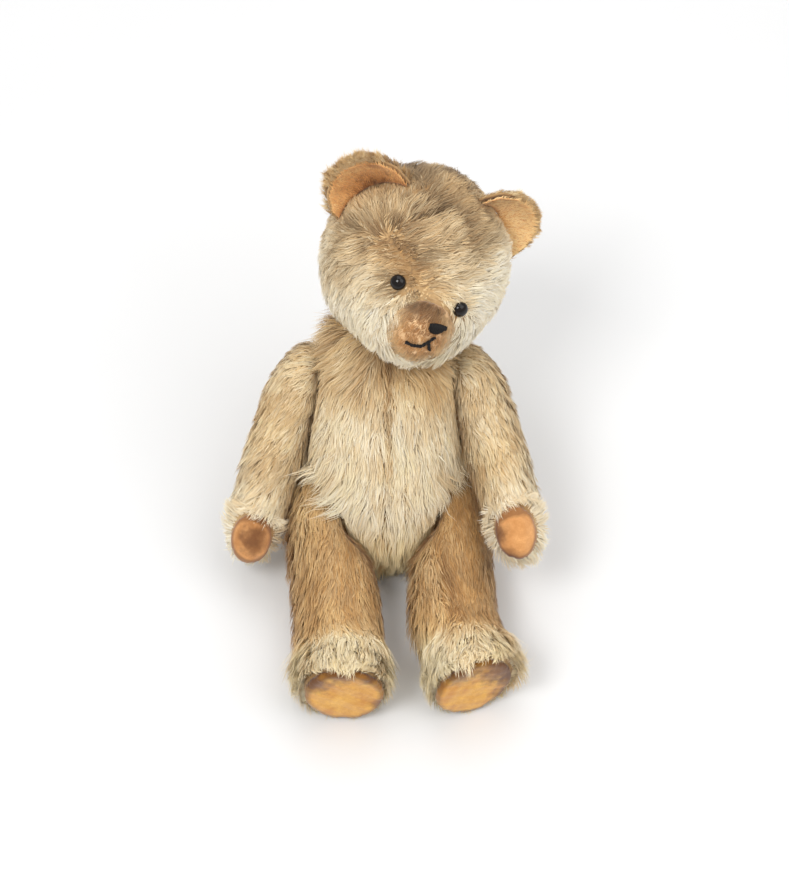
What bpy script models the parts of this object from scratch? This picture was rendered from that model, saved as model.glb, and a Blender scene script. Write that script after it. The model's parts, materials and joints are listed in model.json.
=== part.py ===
"""A worn mohair teddy bear with five disc joints, sitting and leaning back.

Metres, +Z up. The bear faces -Y, its left side is +X, and the origin is on the floor, midway between
the hips, on the flat that its seat rests on. Each body part is a sewn cover around its stuffing. At the
neck, the shoulders and the hips two hardboard discs, two washers and a cotter pin hold a limb against
the torso.
"""

import math

import bmesh
import bpy
from mathutils import Matrix, Vector
from mathutils.bvhtree import BVHTree

# ---- cloth and clearances ----
GAP = 0.0003  # between pieces that touch
SLACK = 0.0007  # between a cover and its stuffing
CLOTH = 0.0030  # mohair cloth with the pressed roots of its pile
PRESSED = 0.0002  # how far a cover stays from the plane of its joint
SETTLES = 1.035  # a subdivided ring shrinks by this much inside its cage
TORSO_CORNERS, LIMB_CORNERS = 10, 8  # round a cage ring
ROUND_SIDES = 20  # of pockets and windows
SHARP = math.radians(40)  # an edge that turns more than this is shaded sharp

# ---- how the bear sits ----
LEAN = math.radians(30)  # the torso leans back
HIP_HEIGHT = 0.0475
HEAD_ROLL = math.radians(20)  # the head has fallen to the bear's left
HEAD_TURN = math.radians(10)
ARM_SWING = {"left": math.radians(34), "right": math.radians(14)}  # ahead of the torso's own line
ARM_SPLAY = math.radians(15)
LEG_SLOPE = math.radians(3)  # the legs drop to the heels
LEG_TWIST = {"left": math.radians(6), "right": math.radians(2)}  # the legs point this far to the left
FOOT_TURN = {"left": math.radians(14), "right": math.radians(-2)}  # and the soles this far beyond that
FOOT_BEND = {"left": 0.010, "right": 0.000}  # how far the ankle lets the foot fall outwards

# ---- joints, in the torso's own frame: X left, Y back, Z towards the neck, zero at the hips ----
NECK_HEIGHT = 0.138
SHOULDER_HEIGHT = 0.096
SHOULDER_HALF_WIDTH = 0.053
HIP_HALF_WIDTH = 0.040
HIP_RECESS_RADIUS = 0.042
RECESS_REACH, RECESS_DEPTH = 0.14, 0.08
RECESS_SWEEP = [math.radians(angle) for angle in (-14, 15, 45, 75, 105)]  # down from straight ahead

# ---- joint hardware ----
NECK_DISC_RADIUS = 0.026
SHOULDER_DISC_RADIUS = 0.0155
HIP_DISC_RADIUS = 0.022
DISC_THICKNESS = 0.003
DISC_SIDES = 16
WASHER_RADIUS = 0.008
WASHER_THICKNESS = 0.0012
WASHER_SIDES = 12
PIN_HOLE_RADIUS = 0.0026
PIN_WIRE_RADIUS = 0.0009
PIN_LEG_OFFSET = 0.0012
PIN_EYE_RADIUS = 0.0026
PIN_CURL_RADIUS = 0.0030
PIN_CURL_BENDS = [math.radians(angle) for angle in (150, 110, 70, 35, 0)]
PIN_EYE_BENDS = 4
PIN_ROUNDNESS = 1  # bevel steps of the wire
POCKET_DEPTH = 0.0165

# ---- the soft shapes, each a list of rings: place along the shape, half width, half depth, centre ----
# Torso: height, half width, half depth, how far the centre is back.
TORSO_RINGS = (
    (-0.052, 0.028, 0.036, 0.008),
    (-0.036, 0.044, 0.051, 0.005),
    (-0.008, 0.059, 0.060, 0.003),
    (0.026, 0.067, 0.060, 0.001),
    (0.062, 0.066, 0.057, 0.001),
    (0.096, 0.063, 0.051, 0.002),
    (0.126, 0.055, 0.043, 0.003),
    (0.150, 0.036, 0.033, 0.003),
)
TORSO_ENDS = (-0.060, 0.158)
# Arm: distance from the shoulder pin, half thickness, half depth, how far the centre is out and ahead.
ARM_RINGS = (
    (-0.022, 0.012, 0.015, 0.009, 0.000),
    (-0.006, 0.023, 0.027, 0.011, 0.000),
    (0.022, 0.025, 0.031, 0.013, 0.000),
    (0.061, 0.022, 0.030, 0.018, 0.000),
    (0.100, 0.021, 0.026, 0.020, 0.003),
    (0.131, 0.022, 0.024, 0.020, 0.009),
    (0.148, 0.013, 0.016, 0.020, 0.013),
)
ARM_ENDS = (-0.029, 0.154)
ARM_FLAT = 0.050
# Leg: distance from the hip pin, half thickness, half height, how far the centre is out and up.
LEG_RINGS = (
    (-0.032, 0.013, 0.015, 0.008, 0.000),
    (-0.016, 0.023, 0.031, 0.010, 0.000),
    (0.014, 0.024, 0.037, 0.012, 0.000),
    (0.046, 0.027, 0.037, 0.010, -0.001),
    (0.082, 0.032, 0.036, 0.001, -0.003),
    (0.114, 0.033, 0.033, -0.001, -0.005),
    (0.142, 0.033, 0.036, -0.001, -0.003),
    (0.164, 0.034, 0.042, -0.002, 0.001),
    (0.194, 0.034, 0.042, -0.002, 0.001),
)
LEG_ENDS = (-0.039, 0.204)
LEG_FLAT = 0.062
SOLE_DISTANCE = 0.180
SOLE_HALF_WIDTH, SOLE_HALF_HEIGHT = 0.0290, 0.0360
SOLE_MIDDLE = (-0.002, 0.001)  # out and up from the leg's own line
ANKLE = (0.110, 0.165)  # where the foot's bend starts and ends
ARM_SHAPE = (ARM_RINGS, ARM_ENDS, ARM_FLAT)
LEG_SHAPE = (LEG_RINGS, LEG_ENDS, LEG_FLAT)
PAW_PAD_MIDDLE = (0.021, 0.036, 0.132)
PAW_PAD_RADII = (0.020, 0.025, 0.023)

# ---- head, in its own frame: Z along the neck pin, -Y the way the bear looks, zero at the neck ----
HEAD_CENTRE = Vector((0.0015, 0.000, 0.059))
HEAD_RADII = Vector((0.0715, 0.064, 0.071))
HEAD_SIDES, HEAD_BANDS = 18, 13
MUZZLE_DROP = math.radians(20)
MUZZLE_LENGTH = 0.026
MUZZLE_SPREAD = math.radians(52)  # from its tip to where it joins the face
MUZZLE_PANEL_RADIUS = 0.024
MUZZLE_PANEL_PLACE = (0.0, 0.0365)
WINDOW_DEPTH, WINDOW_REACH = 0.032, 0.020  # of the cut for the muzzle panel, behind and ahead of it
FAR_AHEAD = 0.2
EAR_RADIUS = 0.033
EAR_HOLLOW = 0.012
EAR_BACK_THICKNESS, EAR_LINING_THICKNESS = 0.0030, 0.0014
EAR_CENTRES = {"left": (0.0495, -0.010, 0.1035), "right": (-0.0520, -0.010, 0.1005)}
EAR_LEAN = math.radians(46)
EAR_TURN = math.radians(14)
EAR_ROWS, EAR_SIDES = 4, 14
EYE_PLACES = {"left": (0.0225, 0.0605), "right": (-0.0270, 0.0650)}  # to the bear's left, above the neck
EYE_RADIUS, EYE_BULGE = 0.0055, 0.0042
EYE_BACK, EYE_BACK_RADIUS = 0.0012, 0.0039
EYE_DOME = [math.radians(angle) for angle in (0, 25, 50, 72, 90)]
EYE_SIDES = 14
EYE_SHANK_RADIUS, EYE_SHANK_LENGTH = 0.0010, 0.0070
NOSE_PLACE = (0.0080, 0.0450)
NOSE_RADII = (0.0068, 0.0050, 0.0052)
FLOSS_RADIUS = 0.0009
FLOSS_ROUNDNESS = 0
STITCH_STEPS = 4
# Each stitch as points on the muzzle: how far to the bear's left, and how far above the neck joint.
LONG_STITCH = ((0.0095, 0.0380), (0.0058, 0.0330), (0.0020, 0.0278), (-0.0035, 0.0262), (-0.0092, 0.0270))
SHORT_STITCH = ((0.0068, 0.0308), (0.0095, 0.0258))

# ---- what the pieces are made of: colour, roughness, metallic ----
MOHAIR = ((0.62, 0.50, 0.34, 1), 0.95, 0.0)
MOHAIR_HONEY = ((0.56, 0.38, 0.20, 1), 0.95, 0.0)
VELVETEEN = ((0.66, 0.38, 0.17, 1), 0.85, 0.0)
WOOD_WOOL = ((0.60, 0.46, 0.26, 1), 0.9, 0.0)
HARDBOARD = ((0.26, 0.16, 0.08, 1), 0.7, 0.0)
STEEL = ((0.55, 0.55, 0.56, 1), 0.4, 1.0)
GLASS = ((0.02, 0.012, 0.01, 1), 0.1, 0.0)
FLOSS = ((0.015, 0.013, 0.012, 1), 0.7, 0.0)

# ---- what moves on each kind of joint, and the words in the names of its pieces ----
LIMBS = {"neck": "head", "shoulder": "arm", "hip": "leg"}
MOVING_WORDS = {
    "neck": {"head", "ear", "eye", "muzzle", "nose", "mouth"},
    "shoulder": {"arm"},
    "hip": {"leg"},
}

# ---- frames ----
TORSO = Matrix.Translation((0, 0, HIP_HEIGHT)) @ Matrix.Rotation(-LEAN, 4, "X")
NECK = TORSO @ Matrix.Translation((0, 0, NECK_HEIGHT)) @ Matrix.Rotation(HEAD_ROLL, 4, "Y")
HEAD = NECK @ Matrix.Rotation(HEAD_TURN, 4, "Z")
MIRROR = Matrix.Diagonal((-1, 1, 1, 1))


def clear_scene():
    for thing in list(bpy.data.objects):
        bpy.data.objects.remove(thing, do_unlink=True)


def new_collection(name):
    collection = bpy.data.collections.new(name)
    bpy.context.scene.collection.children.link(collection)
    return collection


def material(name, finish):
    colour, roughness, metallic = finish
    made = bpy.data.materials.new(name)
    made.use_nodes = True
    shader = made.node_tree.nodes["Principled BSDF"]
    shader.inputs["Base Color"].default_value = colour
    shader.inputs["Roughness"].default_value = roughness
    shader.inputs["Metallic"].default_value = metallic
    return made


def add(name, mesh, collection, finish=None):
    """An object of this mesh, in the collection, with a material of its own if it is a part."""
    thing = bpy.data.objects.new(name, mesh)
    collection.objects.link(thing)
    if finish:
        shade(mesh)
        mesh.materials.clear()
        mesh.materials.append(material(name, finish))
    else:
        thing.hide_render = True
        thing.display_type = "WIRE"
    return thing


def evaluated(thing):
    """A copy of the object's mesh as its modifiers leave it, in world space."""
    bpy.context.view_layer.update()
    graph = bpy.context.evaluated_depsgraph_get()
    mesh = bpy.data.meshes.new_from_object(thing.evaluated_get(graph))
    mesh.transform(thing.matrix_world)
    return mesh


def shade(mesh):
    mesh.shade_smooth()
    mesh.set_sharp_from_angle(angle=SHARP)


def subtract(thing, cutter, keep="DIFFERENCE"):
    step = thing.modifiers.new(cutter.name, "BOOLEAN")
    step.operation = keep
    step.object = cutter


# ---- soft shapes ----
def cage(name, frame, rings, ends, inset, segments=TORSO_CORNERS, flat=None, bend=0.0):
    """A closed cage of rings along Z, smoothed by Subdivision Surface, as a mesh in world space.

    A ring is (place, half x, half y, centre x, centre y), and the inset makes every wall that much thinner.
    Up to the place flat, the side that lies on the torso is pressed flat. The foot bends out at the ankle.
    """
    end_centre = (rings[0][3:], rings[-1][3:])
    bm = bmesh.new()
    loops = []
    for place, half_x, half_y, centre_x, centre_y in rings:
        loop = []
        for corner in range(segments):
            turn = math.tau * (corner + 0.5) / segments
            x = centre_x + (half_x * SETTLES - inset) * math.cos(turn)
            y = centre_y + (half_y * SETTLES - inset) * math.sin(turn)
            loop.append(bm.verts.new((x, y, place)))
        loops.append(loop)
    for lower, upper in zip(loops, loops[1:]):
        for corner in range(segments):
            after = (corner + 1) % segments
            bm.faces.new((lower[corner], lower[after], upper[after], upper[corner]))
    first = bm.verts.new((*end_centre[0], ends[0] + inset))
    last = bm.verts.new((*end_centre[1], ends[1] - inset))
    for corner in range(segments):
        after = (corner + 1) % segments
        bm.faces.new((loops[0][after], loops[0][corner], first))
        bm.faces.new((loops[-1][corner], loops[-1][after], last))
    mesh = bpy.data.meshes.new(name)
    bm.to_mesh(mesh)
    bm.free()
    thing = bpy.data.objects.new(name, mesh)
    bpy.context.scene.collection.objects.link(thing)
    smooth = thing.modifiers.new("soft", "SUBSURF")
    smooth.levels = smooth.render_levels = 1
    made = evaluated(thing)
    bpy.data.objects.remove(thing)
    for vertex in made.vertices:
        if flat and vertex.co.z < flat:
            vertex.co.x = max(vertex.co.x, PRESSED + inset)
        bent = min(1.0, max(0.0, (vertex.co.z - ANKLE[0]) / (ANKLE[1] - ANKLE[0])))
        vertex.co.x += bend * bent * bent * (3 - 2 * bent)
    triangulate(made)
    made.transform(frame)
    if frame.determinant() < 0:
        made.flip_normals()
    return made


def triangulate(mesh):
    """Splits every face along the same diagonal, so that nested shapes keep their distance."""
    bm = bmesh.new()
    bm.from_mesh(mesh)
    bmesh.ops.triangulate(bm, faces=bm.faces, quad_method="FIXED", ngon_method="BEAUTY")
    bm.to_mesh(mesh)
    bm.free()


def ellipsoid(name, frame, centre, radii, segments=16, rings=10):
    bm = bmesh.new()
    bmesh.ops.create_uvsphere(bm, u_segments=segments, v_segments=rings, radius=1)
    bm.transform(frame @ Matrix.Translation(centre) @ Matrix.Diagonal((*radii, 1)))
    mesh = bpy.data.meshes.new(name)
    bm.to_mesh(mesh)
    bm.free()
    return mesh


def trim(mesh, point, normal):
    """Cuts off what is beyond the plane and closes the cut with a flat face."""
    bm = bmesh.new()
    bm.from_mesh(mesh)
    everything = bm.verts[:] + bm.edges[:] + bm.faces[:]
    cut = bmesh.ops.bisect_plane(
        bm, geom=everything, dist=1e-6, plane_co=point, plane_no=normal, clear_outer=True
    )
    rim = [item for item in cut["geom_cut"] if isinstance(item, bmesh.types.BMEdge)]
    bmesh.ops.edgeloop_fill(bm, edges=rim)
    bmesh.ops.recalc_face_normals(bm, faces=bm.faces)
    bm.to_mesh(mesh)
    bm.free()


def press(mesh, joint, side, depth):
    """Flattens a soft shape against a joint's plane. The side is 1 for the limb and -1 for the torso."""
    normal = -side * joint.to_3x3().col[2].normalized()
    trim(mesh, joint.translation - normal * depth, normal)


def rest_on_floor(mesh, depth):
    if min(vertex.co.z for vertex in mesh.vertices) < depth:
        trim(mesh, Vector((0, 0, depth)), Vector((0, 0, -1)))


def cylinder(name, frame, radius, low, high, cutters, sides=ROUND_SIDES):
    bm = bmesh.new()
    bmesh.ops.create_cone(
        bm, cap_ends=True, segments=sides, radius1=radius, radius2=radius, depth=high - low
    )
    bm.transform(frame @ Matrix.Translation((0, 0, (low + high) / 2)))
    mesh = bpy.data.meshes.new(name)
    bm.to_mesh(mesh)
    bm.free()
    return add(name, mesh, cutters)


# ---- joints ----
def ring_plate(name, frame, sizes, finish, parts):
    """A flat ring round the pin's hole, turned from its section."""
    radius, low, high, sides = sizes
    mesh = bpy.data.meshes.new(name)
    section = [(radius, high), (radius, low), (PIN_HOLE_RADIUS, low), (PIN_HOLE_RADIUS, high)]
    points = [(out, 0, up) for out, up in section]
    mesh.from_pydata(points, [(0, 1), (1, 2), (2, 3), (3, 0)], [])
    plate = add(name, mesh, parts, finish)
    plate.matrix_world = frame
    turn = plate.modifiers.new("turn", "SCREW")
    turn.steps = turn.render_steps = sides
    turn.use_merge_vertices = True
    turn.merge_threshold = 0.00001
    turn.use_smooth_shade = False
    return plate


def pin_path(reach):
    """The bent wire of a cotter pin: curl, leg, eye, leg, curl, with Z towards the limb."""
    half = []
    for turn in PIN_CURL_BENDS:
        x = -PIN_LEG_OFFSET - PIN_CURL_RADIUS * (1 - math.cos(turn))
        half.append((x, -reach - PIN_CURL_RADIUS * math.sin(turn)))
    eye_height = reach + PIN_EYE_RADIUS + PIN_WIRE_RADIUS
    mouth = math.asin(PIN_LEG_OFFSET / PIN_EYE_RADIUS)
    for step in range(PIN_EYE_BENDS):
        turn = mouth + (math.pi - mouth) * step / PIN_EYE_BENDS
        half.append((-PIN_EYE_RADIUS * math.sin(turn), eye_height - PIN_EYE_RADIUS * math.cos(turn)))
    top = [(0.0, eye_height + PIN_EYE_RADIUS)]
    other = [(-x, z) for x, z in reversed(half)]
    return [Vector((x, 0, z)) for x, z in half + top + other]


def wire(name, frame, points, radius, finish, parts, roundness):
    curve = bpy.data.curves.new(name, "CURVE")
    curve.dimensions = "3D"
    curve.bevel_depth = radius
    curve.bevel_resolution = roundness
    curve.use_fill_caps = True
    line = curve.splines.new("POLY")
    line.points.add(len(points) - 1)
    for point, place in zip(line.points, points):
        point.co = (*place, 1)
    thing = bpy.data.objects.new(name, curve)
    parts.objects.link(thing)
    thing.matrix_world = frame
    curve.materials.append(material(name, finish))
    return thing


def joint_set(name, limb, joint, radius, parts, cutters):
    """Discs, washers and pin of one joint, and the pockets and holes that they need."""
    first = PRESSED + CLOTH + GAP
    second = first + DISC_THICKNESS
    third = second + GAP + WASHER_THICKNESS
    for side, owner in ((1, limb), (-1, "torso")):
        frame = joint @ Matrix.Rotation(0 if side > 0 else math.pi, 4, "X")
        disc = (radius, first, second, DISC_SIDES)
        washer = (WASHER_RADIUS, second + GAP, third, WASHER_SIDES)
        ring_plate(f"{name}_disc_{owner}", frame, disc, HARDBOARD, parts)
        ring_plate(f"{name}_washer_{owner}", frame, washer, STEEL, parts)
    bends = pin_path(third + GAP + PIN_WIRE_RADIUS)
    wire(f"{name}_cotter_pin", joint, bends, PIN_WIRE_RADIUS, STEEL, parts, PIN_ROUNDNESS)
    hole = cylinder(f"{name}_hole", joint, PIN_HOLE_RADIUS, -POCKET_DEPTH, POCKET_DEPTH, cutters, 12)
    pockets = {}
    for side, owner in ((1, limb), (-1, "torso")):
        low, high = sorted((side * PRESSED, side * POCKET_DEPTH))
        width = (radius + GAP) / math.cos(math.pi / ROUND_SIDES)
        pockets[owner] = cylinder(f"{name}_pocket_{owner}", joint, width, low, high, cutters)
    return hole, pockets


def sew(name, outer, inner, fill, finish, holes, pockets, parts, cutters):
    """A cover around its stuffing, from the same shape at three insets."""
    cover = add(f"{name}_cover", outer, parts, finish)
    subtract(cover, add(f"{name}_inside", inner, cutters))
    for hole in holes:
        subtract(cover, hole)
    stuffing = add(f"{name}_stuffing", fill, parts, WOOD_WOOL)
    for pocket in pockets:
        subtract(stuffing, pocket)
    return cover, stuffing


INSETS = (0.0, CLOTH, CLOTH + SLACK)


# ---- torso ----
def hip_recess(name, hip, grow, cutters):
    """Where a thigh presses into the flank: a round hollow, open ahead and below as the leg swings."""
    bm = bmesh.new()
    across = hip.to_3x3().col[1]
    ahead = hip.to_3x3().col[0] * (1 if hip.to_3x3().col[0].y < 0 else -1)
    shifts = [Vector((0, 0, 0))]
    for angle in RECESS_SWEEP:
        shifts.append(RECESS_REACH * (ahead * math.cos(angle) - across * math.sin(angle)))
    for shift in shifts:
        radius = HIP_RECESS_RADIUS + grow
        made = bmesh.ops.create_cone(
            bm, cap_ends=True, segments=ROUND_SIDES, radius1=radius, radius2=radius, depth=RECESS_DEPTH
        )
        place = hip @ Matrix.Translation((0, 0, RECESS_DEPTH / 2 - PRESSED - grow))
        bmesh.ops.transform(bm, matrix=Matrix.Translation(shift) @ place, verts=made["verts"])
    hull = bmesh.ops.convex_hull(bm, input=bm.verts)
    keep = {item for item in hull["geom"] if isinstance(item, bmesh.types.BMFace)}
    bmesh.ops.delete(bm, geom=[face for face in bm.faces if face not in keep], context="FACES")
    bmesh.ops.delete(bm, geom=[vertex for vertex in bm.verts if not vertex.link_faces])
    bmesh.ops.recalc_face_normals(bm, faces=bm.faces)
    mesh = bpy.data.meshes.new(name)
    bm.to_mesh(mesh)
    bm.free()
    return add(name, mesh, cutters)


def build_torso(joints, holes, pockets, parts, cutters):
    rings = [(place, half_x, half_y, 0, back) for place, half_x, half_y, back in TORSO_RINGS]
    shapes = []
    for number, inset in enumerate(INSETS):
        mesh = cage(f"torso_{number}", TORSO, rings, TORSO_ENDS, inset)
        for joint in (joints["neck"], joints["left_shoulder"], joints["right_shoulder"]):
            press(mesh, joint, -1, PRESSED + inset)
        rest_on_floor(mesh, inset)
        shape = add(f"torso_form_{number}", mesh, cutters)
        for side in ("left", "right"):
            subtract(shape, hip_recess(f"{side}_recess_{number}", joints[f"{side}_hip"], inset, cutters))
        shapes.append(evaluated(shape))
        bpy.data.objects.remove(shape)
    sew("torso", *shapes, MOHAIR, holes, pockets, parts, cutters)


# ---- limbs ----
def limb_frames(side):
    """The frames of a side's shoulder and hip joint (Z out of the torso), arm and leg (Z along them)."""
    out = 1 if side == "left" else -1
    flip = Matrix.Identity(4) if out > 0 else MIRROR
    shoulder = TORSO @ flip @ Matrix.Translation((SHOULDER_HALF_WIDTH, 0, SHOULDER_HEIGHT))
    shoulder = shoulder @ Matrix.Rotation(-ARM_SPLAY, 4, "Y")
    arm = shoulder @ Matrix.Rotation(math.pi - ARM_SWING[side], 4, "X")
    hip = Matrix.Translation((0, 0, HIP_HEIGHT)) @ Matrix.Rotation(LEG_TWIST[side], 4, "Z")
    hip = hip @ flip @ Matrix.Translation((HIP_HALF_WIDTH, 0, 0))
    leg = hip @ Matrix.Rotation(math.pi / 2 + LEG_SLOPE, 4, "X")
    return shoulder, arm, hip, leg


def joint_frame(frame):
    """The same place, with Z along the limb frame's X, which is the way out of the torso."""
    out = frame.to_3x3().col[0].normalized()
    up = Vector((0, 0, 1))
    across = up.cross(out).normalized()
    turned = Matrix((across, out.cross(across), out)).transposed().to_4x4()
    return Matrix.Translation(frame.translation) @ turned


def sole_plane(side, frame):
    """The middle of the sole, and the way it faces."""
    along = frame.to_3x3().col[2].normalized()
    turn = Matrix.Rotation(FOOT_TURN[side], 3, "Z")
    out, up = SOLE_MIDDLE
    return frame @ Vector((out + FOOT_BEND[side], up, SOLE_DISTANCE)), turn @ along


def build_limb(name, frame, shape, finish, hole, pocket, panel, parts, cutters):
    """An arm or a leg, with its paw or foot pad let into the cover."""
    rings, ends, flat = shape
    side = name.split("_")[0]
    bend = FOOT_BEND[side] if "leg" in name else 0.0
    shapes = []
    for number, inset in enumerate(INSETS):
        mesh = cage(f"{name}_{number}", frame, rings, ends, inset, LIMB_CORNERS, flat, bend)
        rest_on_floor(mesh, inset)
        if "leg" in name:
            middle, facing = sole_plane(side, frame)
            trim(mesh, middle - facing * inset, facing)
        shapes.append(mesh)
    pad_shell = shapes[0].copy()
    cover, stuffing = sew(name, *shapes, finish, [hole], [pocket], parts, cutters)
    pad = add(f"{name}_pad", pad_shell, parts, VELVETEEN)
    subtract(pad, cover.modifiers[0].object)
    subtract(pad, panel(f"{name}_pad_window", side, frame, 0, cutters), "INTERSECT")
    subtract(cover, panel(f"{name}_pad_opening", side, frame, GAP, cutters))


def paw_window(name, side, frame, grow, cutters):
    """Cuts the pad from the front of the paw."""
    radii = Vector(PAW_PAD_RADII) + Vector((grow, grow, grow))
    mesh = ellipsoid(name, frame, Vector(PAW_PAD_MIDDLE), radii)
    if frame.determinant() < 0:
        mesh.flip_normals()
    return add(name, mesh, cutters)


def sole_window(name, side, frame, grow, cutters):
    middle, facing = sole_plane(side, frame)
    across = Vector((0, 0, 1)).cross(facing).normalized()
    turned = Matrix((across, facing.cross(across), facing)).transposed().to_4x4()
    sizes = Matrix.Diagonal((SOLE_HALF_WIDTH + grow, SOLE_HALF_HEIGHT + grow, 1, 1))
    place = Matrix.Translation(middle - facing * CLOTH / 2) @ turned @ sizes
    return cylinder(name, place, 1, -CLOTH, CLOTH, cutters)


# ---- head ----
def head_mesh(name, inset):
    """An ellipsoid with the muzzle drawn out of its face, cut flat at the neck."""
    bm = bmesh.new()
    bmesh.ops.create_uvsphere(bm, u_segments=HEAD_SIDES, v_segments=HEAD_BANDS, radius=1)
    ahead = Vector((0, -math.cos(MUZZLE_DROP), -math.sin(MUZZLE_DROP)))
    edge = math.cos(MUZZLE_SPREAD)
    for vertex in bm.verts:
        toward = vertex.co.normalized()
        near = max(0.0, (toward.dot(ahead) - edge) / (1 - edge))
        draw = MUZZLE_LENGTH * near * near * (3 - 2 * near)
        vertex.co = HEAD_CENTRE + toward * (HEAD_RADII - Vector((inset,) * 3)) + ahead * draw
    bm.transform(HEAD)
    mesh = bpy.data.meshes.new(name)
    bm.to_mesh(mesh)
    bm.free()
    triangulate(mesh)
    return mesh


def face_point(surface, out, up):
    """Where a line from ahead meets the head, in the head's frame, and the way the surface faces."""
    start, backwards = HEAD @ Vector((out, -FAR_AHEAD, up)), HEAD.to_3x3() @ Vector((0, 1, 0))
    place, facing, _, _ = surface.ray_cast(start, backwards)
    back = HEAD.inverted()
    return back @ place, (back.to_3x3() @ facing).normalized()


def turned_shape(name, frame, section, sides, collection, finish=None):
    """A solid turned round Z from a section that starts and ends on the axis."""
    mesh = bpy.data.meshes.new(name)
    points = [(out, 0, up) for out, up in section]
    mesh.from_pydata(points, [(row, row + 1) for row in range(len(section) - 1)], [])
    thing = add(name, mesh, collection, finish)
    thing.matrix_world = frame
    turn = thing.modifiers.new("turn", "SCREW")
    turn.steps = turn.render_steps = sides
    turn.use_merge_vertices = True
    turn.merge_threshold = 0.00001
    return thing


def dish(radius, front, back):
    """The section of a dished round cloth, out along its back and in again along its front."""
    shares = [row / EAR_ROWS for row in range(EAR_ROWS + 1)]
    outer = [(radius * share, EAR_HOLLOW * (1 - share**2) + back) for share in shares]
    inner = [(radius * share, EAR_HOLLOW * (1 - share**2) + front) for share in reversed(shares)]
    return outer + inner


def build_ear(side, head_cut, parts):
    """A mohair back and a velveteen lining, dished towards the front and trimmed to the head."""
    out = 1 if side == "left" else -1
    frame = HEAD @ Matrix.Translation(EAR_CENTRES[side]) @ Matrix.Rotation(out * EAR_LEAN, 4, "Y")
    frame = frame @ Matrix.Rotation(out * EAR_TURN, 4, "Z") @ Matrix.Rotation(-math.pi / 2, 4, "X")
    layers = (
        ("back", EAR_RADIUS, 0.0, EAR_BACK_THICKNESS, MOHAIR),
        ("lining", EAR_RADIUS - EAR_BACK_THICKNESS, -GAP - EAR_LINING_THICKNESS, -GAP, VELVETEEN),
    )
    for layer, radius, front, back, finish in layers:
        section = dish(radius, front, back)
        ear = turned_shape(f"{side}_ear_{layer}", frame, section, EAR_SIDES, parts, finish)
        subtract(ear, head_cut)


def build_eye(side, surface, parts, cutters):
    """A domed eye on a shank that goes through the cover. Returns the cutter for its hole."""
    place, facing = face_point(surface, *EYE_PLACES[side])
    turned = facing.to_track_quat("Z", "Y").to_matrix().to_4x4()
    frame = HEAD @ Matrix.Translation(place + facing * (EYE_BACK + GAP)) @ turned
    section = [(EYE_RADIUS * math.sin(turn), EYE_BULGE * math.cos(turn)) for turn in EYE_DOME]
    section += [(EYE_BACK_RADIUS, -EYE_BACK / 2), (EYE_SHANK_RADIUS, -EYE_BACK)]
    section += [(EYE_SHANK_RADIUS, -EYE_SHANK_LENGTH), (0.0, -EYE_SHANK_LENGTH)]
    turned_shape(f"{side}_eye", frame, section, EYE_SIDES, parts, GLASS)
    hole = EYE_SHANK_RADIUS + GAP
    return cylinder(f"{side}_eye_hole", frame, hole, -EYE_SHANK_LENGTH - GAP, EYE_BULGE, cutters, EYE_SIDES)


def stitch(name, surface, outline, parts):
    """Floss that lies on the muzzle."""
    places = []
    for start, end in zip(outline, outline[1:]):
        for step in range(STITCH_STEPS):
            places.append(Vector(start).lerp(Vector(end), step / STITCH_STEPS))
    points = []
    for out, up in places + [outline[-1]]:
        place, facing = face_point(surface, out, up)
        points.append(place + facing * (FLOSS_RADIUS + 2 * GAP))
    wire(name, HEAD, points, FLOSS_RADIUS, FLOSS, parts, FLOSS_ROUNDNESS)


def build_head(joint, hole, pocket, parts, cutters):
    shapes = []
    for number, inset in enumerate(INSETS):
        mesh = head_mesh(f"head_{number}", inset)
        press(mesh, joint, 1, PRESSED + inset)
        shapes.append(mesh)
    shell = shapes[0].copy()
    form = bmesh.new()
    form.from_mesh(shell)
    surface = BVHTree.FromBMesh(form)
    head_cut = add("head_cut", head_mesh("head_cut", -GAP), cutters)
    holes = [hole] + [build_eye(side, surface, parts, cutters) for side in ("left", "right")]
    cover, stuffing = sew("head", *shapes, MOHAIR, holes, [pocket] + holes[1:], parts, cutters)
    panel = add("muzzle_panel", shell, parts, VELVETEEN)
    subtract(panel, cover.modifiers[0].object)
    tip, _ = face_point(surface, *MUZZLE_PANEL_PLACE)
    place = HEAD @ Matrix.Translation(tip) @ Matrix.Rotation(math.pi / 2, 4, "X")
    for thing, grow, keep in ((panel, 0, "INTERSECT"), (cover, GAP, "DIFFERENCE")):
        sizes = (MUZZLE_PANEL_RADIUS + grow, -WINDOW_DEPTH, WINDOW_REACH)
        window = cylinder(f"muzzle_window_{keep.lower()}", place, *sizes, cutters)
        subtract(thing, window, keep)
    for side in ("left", "right"):
        build_ear(side, head_cut, parts)
    nose_place, _ = face_point(surface, *NOSE_PLACE)
    nose = add("nose_stitching", ellipsoid("nose", HEAD, nose_place, NOSE_RADII), parts, FLOSS)
    subtract(nose, head_cut)
    stitch("mouth_long_stitch", surface, LONG_STITCH, parts)
    stitch("mouth_short_stitch", surface, SHORT_STITCH, parts)
    form.free()


def hang_on_pivots(joints, parts):
    """Parents each moving piece to an empty on its joint's axis. The piece stays where it is."""
    for joint, frame in joints.items():
        pivot = bpy.data.objects.new(f"{joint}_pivot", None)
        pivot.matrix_world = frame
        side, _, kind = joint.rpartition("_")
        for thing in parts.objects:
            words = thing.name.split("_")
            if (not side or side in words) and MOVING_WORDS[kind].intersection(words):
                thing.parent = pivot
                thing.matrix_parent_inverse = frame.inverted()
        parts.objects.link(pivot)


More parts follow.
